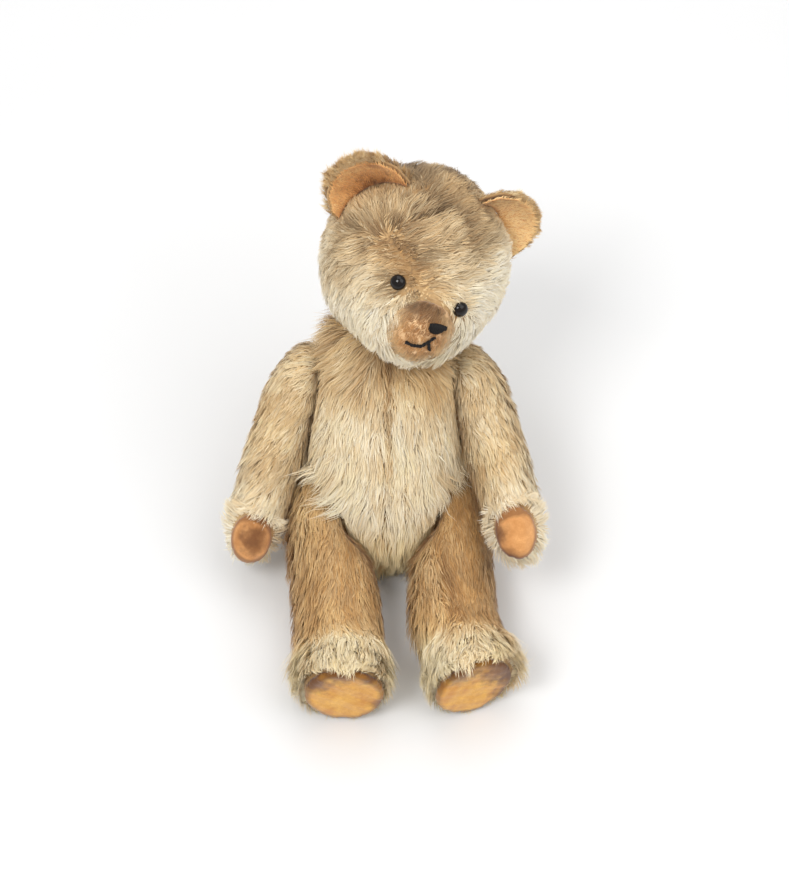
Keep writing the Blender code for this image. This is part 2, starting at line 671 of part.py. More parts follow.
def main():
    clear_scene()
    parts = new_collection("teddy_bear")
    cutters = new_collection("cutters")
    joints = {"neck": NECK}
    frames = {}
    for side in ("left", "right"):
        shoulder, arm, hip, leg = limb_frames(side)
        joints[f"{side}_shoulder"] = joint_frame(shoulder)
        joints[f"{side}_hip"] = joint_frame(hip)
        frames[side] = (arm, leg)
    holes, torso_pockets, limb_pockets = {}, [], {}
    radii = {"neck": NECK_DISC_RADIUS, "shoulder": SHOULDER_DISC_RADIUS, "hip": HIP_DISC_RADIUS}
    for name, joint in joints.items():
        kind = name.split("_")[-1]
        holes[name], pockets = joint_set(name, LIMBS[kind], joint, radii[kind], parts, cutters)
        torso_pockets.append(pockets["torso"])
        limb_pockets[name] = pockets[LIMBS[kind]]
    build_torso(joints, holes.values(), torso_pockets, parts, cutters)
    build_head(joints["neck"], holes["neck"], limb_pockets["neck"], parts, cutters)
    for side in ("left", "right"):
        arm, leg = frames[side]
        shoulder, hip = f"{side}_shoulder", f"{side}_hip"
        pin, pocket = holes[shoulder], limb_pockets[shoulder]
        build_limb(f"{side}_arm", arm, ARM_SHAPE, MOHAIR, pin, pocket, paw_window, parts, cutters)
        pin, pocket = holes[hip], limb_pockets[hip]
        build_limb(f"{side}_leg", leg, LEG_SHAPE, MOHAIR_HONEY, pin, pocket, sole_window, parts, cutters)
    hang_on_pivots(joints, parts)


main()
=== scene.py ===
import json
import math

import bmesh
import bpy
import numpy as np
from mathutils import Matrix, Vector
from mathutils.bvhtree import BVHTree
from mathutils.kdtree import KDTree


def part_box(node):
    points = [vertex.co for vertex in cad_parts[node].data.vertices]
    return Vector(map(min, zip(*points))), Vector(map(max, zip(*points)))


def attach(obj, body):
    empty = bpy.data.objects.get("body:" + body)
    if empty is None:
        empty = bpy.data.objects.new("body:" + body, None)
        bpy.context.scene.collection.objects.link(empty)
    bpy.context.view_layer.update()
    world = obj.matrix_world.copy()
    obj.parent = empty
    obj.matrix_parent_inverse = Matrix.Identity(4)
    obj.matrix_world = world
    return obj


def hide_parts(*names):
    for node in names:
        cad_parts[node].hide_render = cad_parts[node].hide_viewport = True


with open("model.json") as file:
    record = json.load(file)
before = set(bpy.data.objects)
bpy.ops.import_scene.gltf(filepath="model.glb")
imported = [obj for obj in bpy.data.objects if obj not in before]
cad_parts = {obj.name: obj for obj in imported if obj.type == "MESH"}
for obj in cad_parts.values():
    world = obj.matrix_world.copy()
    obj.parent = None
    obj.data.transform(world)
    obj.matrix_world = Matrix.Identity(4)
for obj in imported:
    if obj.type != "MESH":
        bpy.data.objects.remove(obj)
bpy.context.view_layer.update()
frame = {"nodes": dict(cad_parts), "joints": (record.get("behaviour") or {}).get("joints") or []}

SEED = 7
SIDES = ("left", "right")
MM = 0.001

# ---- camera, as the picture was taken ----
CAMERA_RISE = math.radians(55)
CAMERA_DISTANCE = 2.0
CAMERA_AIM = Vector((0.006, 0.0, 0.105))
VIEW_HEIGHT = 0.689  # what the picture's height takes in at the aim

# ---- cloth ----
BODY_VOXEL = 5.0 * MM
PAD_VOXEL = 1.6 * MM
EAR_VOXEL = 1.25 * MM
CLOTH_FRAMES = 14
CLOTH_PRESSURE = 4.0
CLOTH_CAP = 2.0 * MM  # how far the simulation may move the cloth
PANEL_HOLD = 2.0 * MM, 12.0 * MM  # the cloth is held still this near a panel, and is free this far from it
PANEL_SINK = 1.2 * MM  # how deep the cloth is drawn in under a panel

# ---- pile ----
FLOOR_CLEARANCE = 0.6 * MM
STRAND_WIDTH = 0.55 * MM
PILE_RINGS = (0.0, 0.34, 0.68, 1.0)
NAP_RINGS = (0.0, 0.5, 1.0)
OWN_TURN = 0.11  # how far a strand turns from its clump, in radians
RIBBON_TWIST = 0.3
LAY_REACH = 22 * MM  # how near another body part a strand looks for it
DEEPEST = 20 * MM  # how deep inside it a strand is still lifted out
STRETCHED = 0.62  # a strand is dropped when one step takes this share of its length
BODY_GAP = 1.2 * MM  # no long strand starts this near another body part
RUBBED_REACH = 3.5 * MM  # the pile is rubbed short this near another body part

# ---- scales of the materials' noise ----
WEAVE = 700.0
WEAR = 40.0
FIBRES = 900.0
SOIL = 90.0
STAIN_EDGE = 150.0


def rgba(shade):
    """A grey from 0 to 1, or a colour from its everyday 0 to 255 values."""
    if isinstance(shade, float):
        return (shade, shade, shade, 1.0)
    channels = []
    for value in shade:
        value /= 255
        channels.append(value / 12.92 if value <= 0.04045 else ((value + 0.055) / 1.055) ** 2.4)
    return (*channels, 1.0)


# Each family of pile runs from its darkest to its palest tuft.
HUES = 4  # steps from a pile's cool family to its warm one
WARM = ((92, 56, 28), (152, 106, 60), (202, 156, 98), (234, 200, 142), (251, 234, 188))
NEUTRAL = ((104, 82, 56), (164, 138, 102), (210, 188, 150), (238, 223, 192), (253, 248, 234))
APRICOT = ((96, 58, 30), (172, 110, 60), (222, 158, 94), (246, 194, 124), (254, 220, 160))
WORN = ((74, 56, 40), (122, 96, 70), (168, 138, 104), (204, 178, 142), (234, 214, 184))


# ---- meshes ----
def centre(node):
    low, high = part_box(node)
    return np.array((low + high) / 2)


def norm(rows):
    """The length of each row."""
    return np.linalg.norm(rows, axis=-1)


def unit(rows):
    return rows / np.maximum(norm(rows)[..., None], 1e-9)


def step(values, start, end):
    """0 before the start, 1 after the end, smooth between."""
    share = np.clip((values - start) / (end - start), 0, 1)
    return share * share * (3 - 2 * share)


def bell(values, reach):
    """1 at 0, falling off smoothly to both sides."""
    return np.exp(-((values / reach) ** 2))


def object_from(name, data):
    thing = bpy.data.objects.new(name, data)
    bpy.context.scene.collection.objects.link(thing)
    return thing


def object_of(name, bm):
    """An object from a finished bmesh, which is freed."""
    mesh = bpy.data.meshes.new(name)
    bm.to_mesh(mesh)
    bm.free()
    return object_from(name, mesh)


def joined(name, nodes):
    bm = bmesh.new()
    for node in nodes:
        bm.from_mesh(frame["nodes"][node].data)
    return object_of(name, bm)


def apply_modifiers(thing):
    graph = bpy.context.evaluated_depsgraph_get()
    graph.update()
    made = bpy.data.meshes.new_from_object(thing.evaluated_get(graph))
    old = thing.data
    thing.modifiers.clear()
    thing.data = made
    made.name = thing.name
    bpy.data.meshes.remove(old)


def keep_largest(thing):
    """Drops the walls that a remesh leaves inside."""
    bm = bmesh.new()
    bm.from_mesh(thing.data)
    left = set(bm.verts)
    islands = []
    while left:
        island = [left.pop()]
        for vertex in island:
            near = {other for edge in vertex.link_edges for other in edge.verts} & left
            left -= near
            island += near
        islands.append(island)
    islands.sort(key=len)
    spare = [vertex for island in islands[:-1] for vertex in island]
    bmesh.ops.delete(bm, geom=spare, context="VERTS")
    bm.to_mesh(thing.data)
    bm.free()


def remeshed(name, nodes, voxel, smoothing=4):
    thing = joined(name, nodes)
    remesh = thing.modifiers.new("remesh", "REMESH")
    remesh.mode = "VOXEL"
    remesh.voxel_size = voxel
    smooth = thing.modifiers.new("smooth", "SMOOTH")
    smooth.factor = 0.5
    smooth.iterations = smoothing
    apply_modifiers(thing)
    keep_largest(thing)
    thing.data.shade_smooth()
    return thing


def stuff(thing, held):
    """Puffs the cloth from inside. The cap keeps the shape, and held says how firmly each point stays."""
    mesh = thing.data
    start = coordinates(mesh)
    cloth = thing.modifiers.new("cloth", "CLOTH")
    settings = cloth.settings
    settings.quality = 4
    settings.mass = 0.2
    settings.tension_stiffness = settings.compression_stiffness = 12
    settings.bending_stiffness = 0.6
    settings.use_pressure = True
    settings.uniform_pressure_force = CLOTH_PRESSURE
    settings.effector_weights.gravity = 0
    cloth.collision_settings.use_collision = False
    cloth.point_cache.frame_start = 1
    cloth.point_cache.frame_end = CLOTH_FRAMES
    scene = bpy.context.scene
    for number in range(1, CLOTH_FRAMES + 1):
        scene.frame_set(number)
    apply_modifiers(thing)
    moved = coordinates(thing.data) - start
    far = np.maximum(norm(moved), 1e-9)
    moved *= np.minimum(1.0, CLOTH_CAP * (1 - held) / far)[:, None]
    move_to(thing, start + moved)
    scene.frame_set(1)


def threes(rows, field, kind=float):
    """The values of a field with three numbers a row."""
    values = np.empty(len(rows) * 3, dtype=kind)
    rows.foreach_get(field, values)
    return values.reshape(-1, 3)


def coordinates(mesh):
    return threes(mesh.vertices, "co")


def move_to(thing, places):
    thing.data.vertices.foreach_set("co", places.ravel())
    thing.data.update()


def swell(thing, amount):
    """Moves each point out by its amount."""
    normals = threes(thing.data.vertex_normals, "vector")
    move_to(thing, coordinates(thing.data) + normals * amount[:, None])


def subdivide(thing):
    more = thing.modifiers.new("fine", "SUBSURF")
    more.levels = more.render_levels = 1
    apply_modifiers(thing)
    thing.data.shade_smooth()


def tree_of(things):
    points, faces = [], []
    for thing in things:
        first = len(points)
        points += [vertex.co.copy() for vertex in thing.data.vertices]
        faces += [[first + index for index in face.vertices] for face in thing.data.polygons]
    return BVHTree.FromPolygons(points, faces)


def node_tree(*nodes):
    return tree_of([frame["nodes"][node] for node in nodes])


def distance_to(tree, points, reach):
    """How far each point is from the tree's surface, at most reach."""
    found = (tree.find_nearest(point, reach)[3] for point in points)
    return np.array([reach if far is None else far for far in found])


# ---- frames of the body parts ----
class Frame:
    """Axes of one body part: to its side, to its front and along it."""

    def __init__(self, origin, along, side, front):
        self.span = np.linalg.norm(along)
        along = unit(np.array(along))
        side = np.array(side) - along * np.dot(along, side)
        side = unit(side)
        ahead = np.cross(side, along)
        self.origin = np.array(origin)
        self.axes = np.array((side, ahead * np.sign(np.dot(ahead, front)), along))

    def local(self, points):
        return (points - self.origin) @ self.axes.T

    def placed(self, points):
        """Local places, and how far along the body part they are: 0 at its joint, 1 at its other end."""
        at = self.local(points)
        return at, at[:, 2] / self.span

    def world(self, ways):
        return ways @ self.axes


JOINTS = {joint["name"]: joint for joint in frame["joints"]}
AHEAD = np.array((0.0, -1.0, 0.3))  # the front of the whole bear


def joint_place(name):
    return np.array(JOINTS[name]["pos_m"])


def torso_frame():
    hips = (joint_place("left_hip") + joint_place("right_hip")) / 2
    return Frame(hips, joint_place("neck") - hips, (1, 0, 0), AHEAD)


def head_frame():
    place = joint_place("neck")
    along = np.array(JOINTS["neck"]["axis"])
    ahead = centre("muzzle_panel") - place
    return Frame(place, along, np.cross(along, ahead), ahead)


def limb_frame(side, joint, limb):
    place = joint_place(f"{side}_{joint}")
    out = np.array(JOINTS[f"{side}_{joint}"]["axis"]) * (1 if side == "left" else -1)
    front = AHEAD if limb == "arm" else (0.0, 0.0, 1.0)
    return Frame(place, centre(f"{side}_{limb}_pad") - place, out, front)


# ---- pile ----
def wobble(points, size, seed):
    """A smooth field between about -1 and 1 that changes over this size."""
    rng = np.random.default_rng(seed)
    total = np.zeros(len(points))
    for _ in range(6):
        wave = rng.normal(size=3) * 2.2 / size
        total += np.sin(points @ wave + rng.uniform(0, math.tau))
    return total / 3.2


def scatter(thing, count, rng, weight):
    """Random roots on a piece, with the weight as their density: places and surface normals."""
    mesh = thing.data
    mesh.calc_loop_triangles()
    corners = threes(mesh.loop_triangles, "vertices", np.int64)
    places, normals = coordinates(mesh), threes(mesh.vertex_normals, "vector")
    a, b, c = (places[corners[:, corner]] for corner in range(3))
    share = norm(np.cross(b - a, c - a)) / 2 * weight((a + b + c) / 3)
    steps = np.cumsum(share) / share.sum()
    picks = (np.arange(count) + rng.random(count)) / count
    chosen = np.minimum(np.searchsorted(steps, picks), len(steps) - 1)
    one, two = rng.random(count), rng.random(count)
    over = one + two > 1
    one[over], two[over] = 1 - one[over], 1 - two[over]
    mix = np.stack((1 - one - two, one, two), axis=1)[:, :, None]
    roots = (places[corners[chosen]] * mix).sum(axis=1)
    return roots, unit((normals[corners[chosen]] * mix).sum(axis=1))


def clumps_of(roots, spacing, rng):
    """For each root the number of its clump, and for each clump its own root."""
    order = rng.permutation(len(roots))
    picked = order[: max(8, int(len(roots) / spacing))]
    tree = KDTree(len(picked))
    for number, row in enumerate(picked):
        tree.insert(roots[row], number)
    tree.balance()
    return np.array([tree.find(root)[1] for root in roots]), picked


def curves(roots, normals, ways, lengths, lifts, waves, phases, rings):
    """Points of each strand: it leaves the cloth at its lift and bends down to the way it is combed."""
    side = unit(np.cross(normals, ways))
    points = [roots]
    at = roots.copy()
    for before, after in zip(rings, rings[1:]):
        middle = (before + after) / 2
        angle = (lifts * (1.15 - 0.95 * middle))[:, None]
        stride = (lengths * (after - before))[:, None]
        at = at + stride * (ways * np.cos(angle) + normals * np.sin(angle))
        sway = (waves * lengths * np.sin(phases + after * 4.4) * after)[:, None]
        points.append(at + side * sway)
    return np.stack(points, axis=1)


def turned(ways, normals, angles):
    """Each way turned round its normal by its angle."""
    side = np.cross(normals, ways)
    return ways * np.cos(angles)[:, None] + side * np.sin(angles)[:, None]


def pile(name, body, cloth, count, rules, seed, fleece="mohair"):
    """Grows the pile of one piece.

    Of the rules, weight, keep, comb, length, lift, root and tint are functions of the roots; root says how
    far up the painted shade at the root a strand starts. The others are numbers: strands to a clump, clumps
    to a lock, how tight and how wild they are, how wide, and gap, the painted shade at the edges of the
    locks.
    """
    rng = np.random.default_rng(SEED + seed)
    roots, normals = scatter(cloth, count, rng, rules["weight"])
    kept = rules["keep"](roots, normals)
    roots, normals = roots[kept], normals[kept]
    total = len(roots)
    ways = rules["comb"](roots)
    ways = unit(ways - normals * (ways * normals).sum(axis=1, keepdims=True))
    clump, picked = clumps_of(roots, rules["clump"], rng)
    groups = len(picked)
    swing = rng.normal(0, rules["wild"], groups)
    stretch = rng.uniform(0.82, 1.15, groups)
    rise = rng.normal(1.0, 0.18, groups)
    phases = 2.4 * wobble(roots[picked], 0.022, 8) + rng.normal(0, 0.7, groups)
    ways = turned(ways, normals, swing[clump])
    lengths = rules["length"](roots) * stretch[clump]
    lifts = rules["lift"](roots) * rise[clump]
    rings = rules["rings"]
    waves = np.full(total, rules["wave"])
    first = (of[picked] for of in (roots, normals, ways, lengths, lifts, waves))
    guides = curves(*first, phases, rings)
    lock, heads = clumps_of(roots[picked], rules["lock"], rng)
    off_centre = norm(roots - roots[picked[heads[lock]]][clump])
    shade = rng.normal(0, 0.5, groups)[clump] + rng.normal(0, 0.8, len(heads))[lock][clump]
    # Painted shade: strands at the edges of a lock are darker, as in the shade between locks.
    shade -= rules["gap"] * (np.clip(off_centre / off_centre.mean(), 0, 2) - 1)
    shares = np.array(rings)
    guides = guides + (guides[heads][lock] - guides) * (rules["hold"] * shares[None, :, None])
    own = turned(ways, normals, rng.normal(0, OWN_TURN, total))
    lengths = lengths * rng.uniform(0.75, 1.1, total)
    lifts = lifts * rng.normal(1, 0.15, total)
    points = curves(roots, normals, own, lengths, lifts, waves, phases[clump], rings)
    pull = rules["pull"] * np.clip(rng.normal(1.0, 0.25, total), 0, 1.2)
    pull[rng.random(total) < rules["stray"]] *= 0.15
    grip = pull[:, None] * (np.power(shares, 0.9) * (1 - 0.22 * shares**3))[None, :]
    points += (guides[clump] - points) * np.clip(grip, 0, 0.93)[:, :, None]
    if rules["over"]:
        lay_over(points, NEIGHBOURS[body], rules["over"])
    whole = norm(np.diff(points, axis=1)).max(axis=1) < STRETCHED * lengths
    points, roots, normals, shade = points[whole], roots[whole], normals[whole], shade[whole]
    height = points[:, :, 2]
    above = FLOOR_CLEARANCE + 0.4 * MM * rng.random(height.shape)
    points[:, :, 2] = np.where(height < FLOOR_CLEARANCE, above, height)
    tint = rules["tint"](roots, shade, rng)
    # How far up the painted shade at the root each strand starts: 1 leaves it none.
    pale = rules["root"](roots)
    thing = ribbons(name, points, normals, tint, pale, rules["width"], rng)
    thing.data.materials.append(FLEECES[fleece])
    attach(thing, body)


def lay_over(points, tree, over):
    """Lifts the strands that run into another body part so that they lie on it."""
    for row, strand in enumerate(points):
        for point in strand[1:]:
            place, normal, _, far = tree.find_nearest(point, LAY_REACH)
            if place is None:
                continue
            normal = np.array(normal)
            height = (point - np.array(place)) @ normal
            if height < over and (height > 0 or far < DEEPEST):
                point += normal * (over * (0.8 + 0.4 * (row % 7) / 7) - height)


def ribbons(name, points, normals, tint, pale, width, rng):
    """One tapered ribbon a strand. Its map says which tuft it is (across) and how far from the root (up)."""
    total, rings, _ = points.shape
    along = unit(np.gradient(points, axis=1))
    twist = rng.normal(0, RIBBON_TWIST, total)
    side = unit(np.cross(along[:, 1], normals))
    side = side * np.cos(twist)[:, None] + normals * np.sin(twist)[:, None]
    across = side[:, None, :] - along * (side[:, None, :] * along).sum(axis=2, keepdims=True)
    across = unit(across)
    wide = width * rng.uniform(0.7, 1.3, total)[:, None, None] / 2
    spots = np.linspace(0, 1, rings)
    taper = (1.0 - 0.55 * spots**1.5)[None, :, None]
    each = 2 * (rings - 1) + 1

    def woven(left, right, tip):
        """The values of a ribbon's left and right edges by turns, and of its tip last."""
        values = np.empty((total, each, *tip.shape[1:]))
        values[:, 0:-1:2], values[:, 1:-1:2], values[:, -1] = left, right, tip
        return values

    half = (across * wide * taper)[:, :-1]
    places = woven(points[:, :-1] - half, points[:, :-1] + half, points[:, -1])
    facing = unit(np.cross(across, along) * 0.3 + normals[:, None, :])
    shown = woven(facing[:, :-1], facing[:, :-1], facing[:, -1])
    loops = []
    for ring in range(rings - 2):
        loops += [2 * ring, 2 * ring + 1, 2 * ring + 3, 2 * ring + 2]
    loops += [2 * rings - 4, 2 * rings - 3, 2 * rings - 2]
    sizes = [4] * (rings - 2) + [3]
    corner = (np.array(loops)[None, :] + each * np.arange(total)[:, None]).ravel()
    mesh = bpy.data.meshes.new(name)
    mesh.vertices.add(total * each)
    mesh.vertices.foreach_set("co", places.ravel())
    mesh.loops.add(len(corner))
    mesh.loops.foreach_set("vertex_index", corner.astype(np.int32))
    mesh.polygons.add(total * len(sizes))
    lengths = np.tile(sizes, total)
    mesh.polygons.foreach_set("loop_start", (np.cumsum(lengths) - lengths).astype(np.int32))
    mesh.update(calc_edges=True)
    u = woven(tint[:, None] - 0.004, tint[:, None] + 0.004, tint)
    # Up on the map also carries the painted shade at the root, and a paler start begins further up it.
    rise = pale[:, None] + (1 - pale[:, None]) * spots[None, :]
    v = woven(rise[:, :-1], rise[:, :-1], rise[:, -1])
    layer = mesh.uv_layers.new(name="OFBake")
    both = np.stack((u.ravel()[corner], np.clip(v.ravel()[corner], 0.004, 0.996)), axis=1)
    layer.uv.foreach_set("vector", both.ravel())
    mesh.shade_smooth()
    mesh.normals_split_custom_set_from_vertices(shown.reshape(-1, 3))
    return object_from(name, mesh)


def tufts(warmth, light, shade, rng, spread=0.055, shades=0.075):
    """Which tuft each strand is: how warm, and how pale."""
    total = len(light)
    hue = np.round((HUES - 1) * (warmth + 0.08 * shade + rng.normal(0, 0.12, total)))
    pale = np.clip(light + shades * shade + rng.normal(0, spread, total), 0, 1)
    return (np.clip(hue, 0, HUES - 1) + 0.04 + 0.92 * pale) / HUES


# ---- materials ----
class Nodes:
    """Builds a material's nodes with few words."""

    def __init__(self, name):
        self.material = bpy.data.materials.new(name)
        self.material.use_nodes = True
        self.tree = self.material.node_tree
        self.shader = self.tree.nodes["Principled BSDF"]

    def node(self, kind, **inputs):
        made = self.tree.nodes.new(kind)
        for key, value in inputs.items():
            self.put(made.inputs[key.replace("_", " ")], value)
        return made

    def put(self, socket, value):
        if isinstance(value, bpy.types.NodeSocket):
            self.tree.links.new(value, socket)
        else:
            socket.default_value = value

    def set(self, **inputs):
        for key, value in inputs.items():
            self.put(self.shader.inputs[key.replace("_", " ")], value)

    def ramp(self, factor, *stops):
        made = self.tree.nodes.new("ShaderNodeValToRGB")
        elements = made.color_ramp.elements
        elements.remove(elements[1])
        elements[0].position, elements[0].color = stops[0][0], rgba(stops[0][1])
        for place, shade in stops[1:]:
            elements.new(place).color = rgba(shade)
        self.put(made.inputs["Fac"], factor)
        return made.outputs["Color"]

    def mix(self, factor, first, second, blend="MIX"):
        made = self.tree.nodes.new("ShaderNodeMix")
        made.data_type = "RGBA"
        made.blend_type = blend
        self.put(made.inputs[0], factor)
        self.put(made.inputs[6], first)
        self.put(made.inputs[7], second)
        return made.outputs[2]

    def noise(self, scale, detail, vector, roughness=0.6):
        made = self.node("ShaderNodeTexNoise", Vector=vector, Scale=scale, Detail=detail, Roughness=roughness)
        return made.outputs["Fac"]

    def math(self, kind, operation, *values):
        """A ShaderNodeMath or ShaderNodeVectorMath."""
        made = self.tree.nodes.new(f"ShaderNode{kind}")
        made.operation = operation
        for socket, value in zip(made.inputs, values):
            self.put(socket, value)
        return next(output for output in made.outputs if output.enabled)

    def place(self):
        return self.node("ShaderNodeTexCoord").outputs["Object"]

    def bump(self, height, strength, distance):
        made = self.node("ShaderNodeBump", Height=height, Strength=strength, Distance=distance)
        self.set(Normal=made.outputs["Normal"])


def fleece(name, cool, warm, root_shade):
    """Mohair: the tuft's own colour, made darker and browner towards its root by painted shade, as deep in
    the pile.
    """
    made = Nodes(name)
    split = made.node("ShaderNodeSeparateXYZ")
    layer = made.tree.nodes.new("ShaderNodeUVMap")
    layer.uv_map = "OFBake"
    made.put(split.inputs["Vector"], layer.outputs["UV"])
    stops = []
    for hue in range(HUES):
        share = hue / (HUES - 1)
        for number, (one, other) in enumerate(zip(cool, warm)):
            colour = [a + (b - a) * share for a, b in zip(one, other)]
            stops.append(((hue + 0.04 + 0.92 * number / (len(cool) - 1)) / HUES, colour))
    colour = made.ramp(split.outputs["X"], *stops)
    # Painted shade: the pile darkens and browns towards each strand's root, where it lies in its own shade.
    painted_root_shade = made.ramp(split.outputs["Y"], (0.0, root_shade), (0.45, 0.88), (1.0, 1.0))
    browned = made.mix(1.0, colour, rgba((236, 206, 164)), "MULTIPLY")
    toned = made.mix(painted_root_shade, browned, colour)
    final = made.mix(1.0, toned, painted_root_shade, "MULTIPLY")
    made.set(Base_Color=final, Roughness=0.62, Specular_IOR_Level=0.25)
    made.set(Sheen_Weight=0.15, Sheen_Roughness=0.5)
    return made.material


FLEECES = {
    "mohair": fleece("mohair_pile", NEUTRAL, WARM, 0.55),
    "velveteen": fleece("velveteen_pile", WORN, APRICOT, 0.72),
}


def cloth_material(name, dark, light):
    """Woven backing with worn and soiled patches."""
    made = Nodes(name)
    place = made.place()
    patches = made.noise(WEAR, 4.0, place)
    weave = made.noise(WEAVE, 1.0, place)
    colour = made.ramp(patches, (0.32, dark), (0.68, light))
    spotted = made.mix(made.ramp(weave, (0.3, 0.75), (0.7, 1.0)), rgba(dark), colour)
    made.set(Base_Color=spotted, Roughness=0.9, Sheen_Weight=0.2, Specular_IOR_Level=0.2)
    made.bump(weave, 0.5, 0.4 * MM)
    return made.material


def stained(name, dark, light, spots, stain_and_shade, rim=None):
    """Short rubbed velveteen with dark spots, each (place, reach), and a dark rim, (middle, half size). The
    spots are stains, and painted shade in an ear's hollow; the rim is partly soiling, partly painted shade
    under the overhanging pile.
    """
    made = Nodes(name)
    place = made.place()
    fibres = made.noise(FIBRES, 2.0, place)
    patches = made.noise(SOIL, 4.0, place)
    colour = made.ramp(patches, (0.30, dark), (0.70, light))
    colour = made.mix(made.ramp(fibres, (0.25, 0.55), (0.6, 0.0)), colour, rgba(dark))
    ragged = made.noise(STAIN_EDGE, 4.0, place, 0.5)
    for spot, reach in spots:
        away = made.math("VectorMath", "DISTANCE", place, spot)
        edge = made.math("Math", "MULTIPLY_ADD", ragged, reach * 1.4, away)
        fall = made.ramp(edge, (reach * 1.25, 0.85), (reach * 2.1, 0.0))
        colour = made.mix(fall, colour, rgba(stain_and_shade))
    # The rim: partly soiling, partly painted shade under the pile that overhangs the pad.
    if rim:
        middle, half = rim
        from_middle = made.math("VectorMath", "SUBTRACT", place, middle)
        far = made.math("VectorMath", "LENGTH", made.math("VectorMath", "DIVIDE", from_middle, half))
        worn = made.math("Math", "MULTIPLY_ADD", ragged, 0.12, far)
        soiled_and_shaded = made.ramp(worn, (0.90, 0.0), (0.99, 0.45), (1.0, 0.6))
        colour = made.mix(soiled_and_shaded, colour, rgba(stain_and_shade))
    made.set(Base_Color=colour, Roughness=0.85, Sheen_Weight=0.35, Specular_IOR_Level=0.2)
    made.bump(fibres, 0.6, 0.35 * MM)
    return made.material


def grained(name, scale, detail, *stops, **finish):
    """The nodes of a material that is coloured by noise, and the noise."""
    made = Nodes(name)
    grain = made.noise(scale, detail, made.place())
    made.set(Base_Color=made.ramp(grain, *stops), **finish)
    return made, grain


def hard_material(name, dark, light, roughness, metallic=0.0, scale=220.0):
    made, grain = grained(name, scale, 5.0, (0.35, dark), (0.65, light), Metallic=metallic)
    made.set(Roughness=made.ramp(grain, (0.3, roughness - 0.1), (0.7, roughness + 0.1)))
    made.bump(grain, 0.2, 0.2 * MM)
    return made.material


def floss_material():
    stops = (0.35, (6, 5, 5)), (0.75, (30, 26, 23))
    made, fibres = grained("floss", 1600.0, 3.0, *stops, Roughness=0.6, Specular_IOR_Level=0.3)
    made.bump(fibres, 0.6, 0.25 * MM)
    return made.material


def eye_material():
    """Almost black glass with a little brown in it."""
    stops = (0.3, (6, 4, 3)), (0.8, (24, 13, 8))
    made, _ = grained("eye_glass", 300.0, 2.0, *stops, Roughness=0.05, Specular_IOR_Level=0.35)
    return made.material


# ---- skins ----
LIMBS = [f"{side}_{limb}" for side in SIDES for limb in ("arm", "leg")]
SKIN_NODES = {
    "torso": ["torso_cover", "torso_stuffing"],
    "head": ["head_cover", "head_stuffing", "muzzle_panel"],
    **{limb: [f"{limb}_cover", f"{limb}_stuffing", f"{limb}_pad"] for limb in LIMBS},
}


def under_panel(thing, panels):
    """1 where the cloth lies under a pad or the muzzle panel, 0 where it is clear of them."""
    places = coordinates(thing.data)
    if not panels:
        return np.zeros(len(places))
    near, far = PANEL_HOLD
    return 1 - np.clip((distance_to(node_tree(*panels), places, far) - near) / (far - near), 0, 1)


def rest_on_floor(thing):
    """Flattens the cloth where the bear sits on it."""
    places = coordinates(thing.data)
    places[:, 2] = np.maximum(places[:, 2], FLOOR_CLEARANCE / 2)
    move_to(thing, places)


def make_skin(body):
    nodes = SKIN_NODES[body]
    skin = remeshed(f"{body}_skin", nodes, BODY_VOXEL)
    held = under_panel(skin, nodes[2:])
    stuff(skin, held)
    swell(skin, -PANEL_SINK * np.clip(4 * held - 3, 0, 1))
    subdivide(skin)
    rest_on_floor(skin)
    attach(skin, body)
    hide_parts(nodes[0], nodes[1])
    return skin


SKINS = {body: make_skin(body) for body in SKIN_NODES}
SKIN_CLOTH = cloth_material("mohair_backing", (150, 114, 72), (198, 164, 118))
for skin in SKINS.values():
    skin.data.materials.append(SKIN_CLOTH)
NEIGHBOURS = {body: tree_of([skin for other, skin in SKINS.items() if other != body]) for body in SKINS}


def clear_of(body, *barriers):
    """Keeps the roots that are clear of the other body parts, and of the barriers, each (tree, gap)."""

    def keep(roots, normals):
        kept = np.full(len(roots), True)
        for tree, gap in ((NEIGHBOURS[body], BODY_GAP), *barriers):
            kept &= distance_to(tree, roots, 4 * MM) > gap
        return kept

    return keep


def even(value):
    """A rule that gives every strand the same value."""
    return lambda roots: np.full(len(roots), value)


# gap is how much painted shade darkens the edges of the locks.
BASE_RULES = {
    "weight": even(1.0), "rings": PILE_RINGS, "width": STRAND_WIDTH, "root": even(0.0), "over": 3.0 * MM,
    "clump": 14, "lock": 7, "hold": 0.35, "pull": 0.6, "stray": 0.10, "wild": 0.11, "wave": 0.09, "gap": 0.7,
}


def touching(body, roots):
    """Where another body part rests against this one: its pile is rubbed short and flat there."""
    return distance_to(NEIGHBOURS[body], roots, 2 * RUBBED_REACH) < RUBBED_REACH


RUBBED = {"torso": 3200, "head": 1000, "arm": 700, "leg": 900}


def coat(body, count, down_count, rules, seed):
    """The long pile of a body part, a short wide down under it, and what is left of it at the joints."""
    pile(f"{body}_pile", body, SKINS[body], count, rules, seed)
    down = dict(rules, rings=NAP_RINGS, width=1.1 * MM, pull=0.35, stray=0.3, wild=0.25)
    down["length"] = lambda roots: rules["length"](roots) * 0.62
    down["lift"] = lambda roots: rules["lift"](roots) * 1.1
    down["root"] = lambda roots: 0.35 + 0.65 * rules["root"](roots)
    pile(f"{body}_down", body, SKINS[body], down_count, down, seed + 50)
    rubbed = dict(down, weight=lambda roots: touching(body, roots), over=0.0, width=2.3 * MM, wild=0.3)
    rubbed.update(length=even(6.0 * MM), lift=even(0.16), keep=lambda roots, normals: touching(body, roots))
    pile(f"{body}_rubbed", body, SKINS[body], RUBBED[body.split("_")[-1]], rubbed, seed + 80)


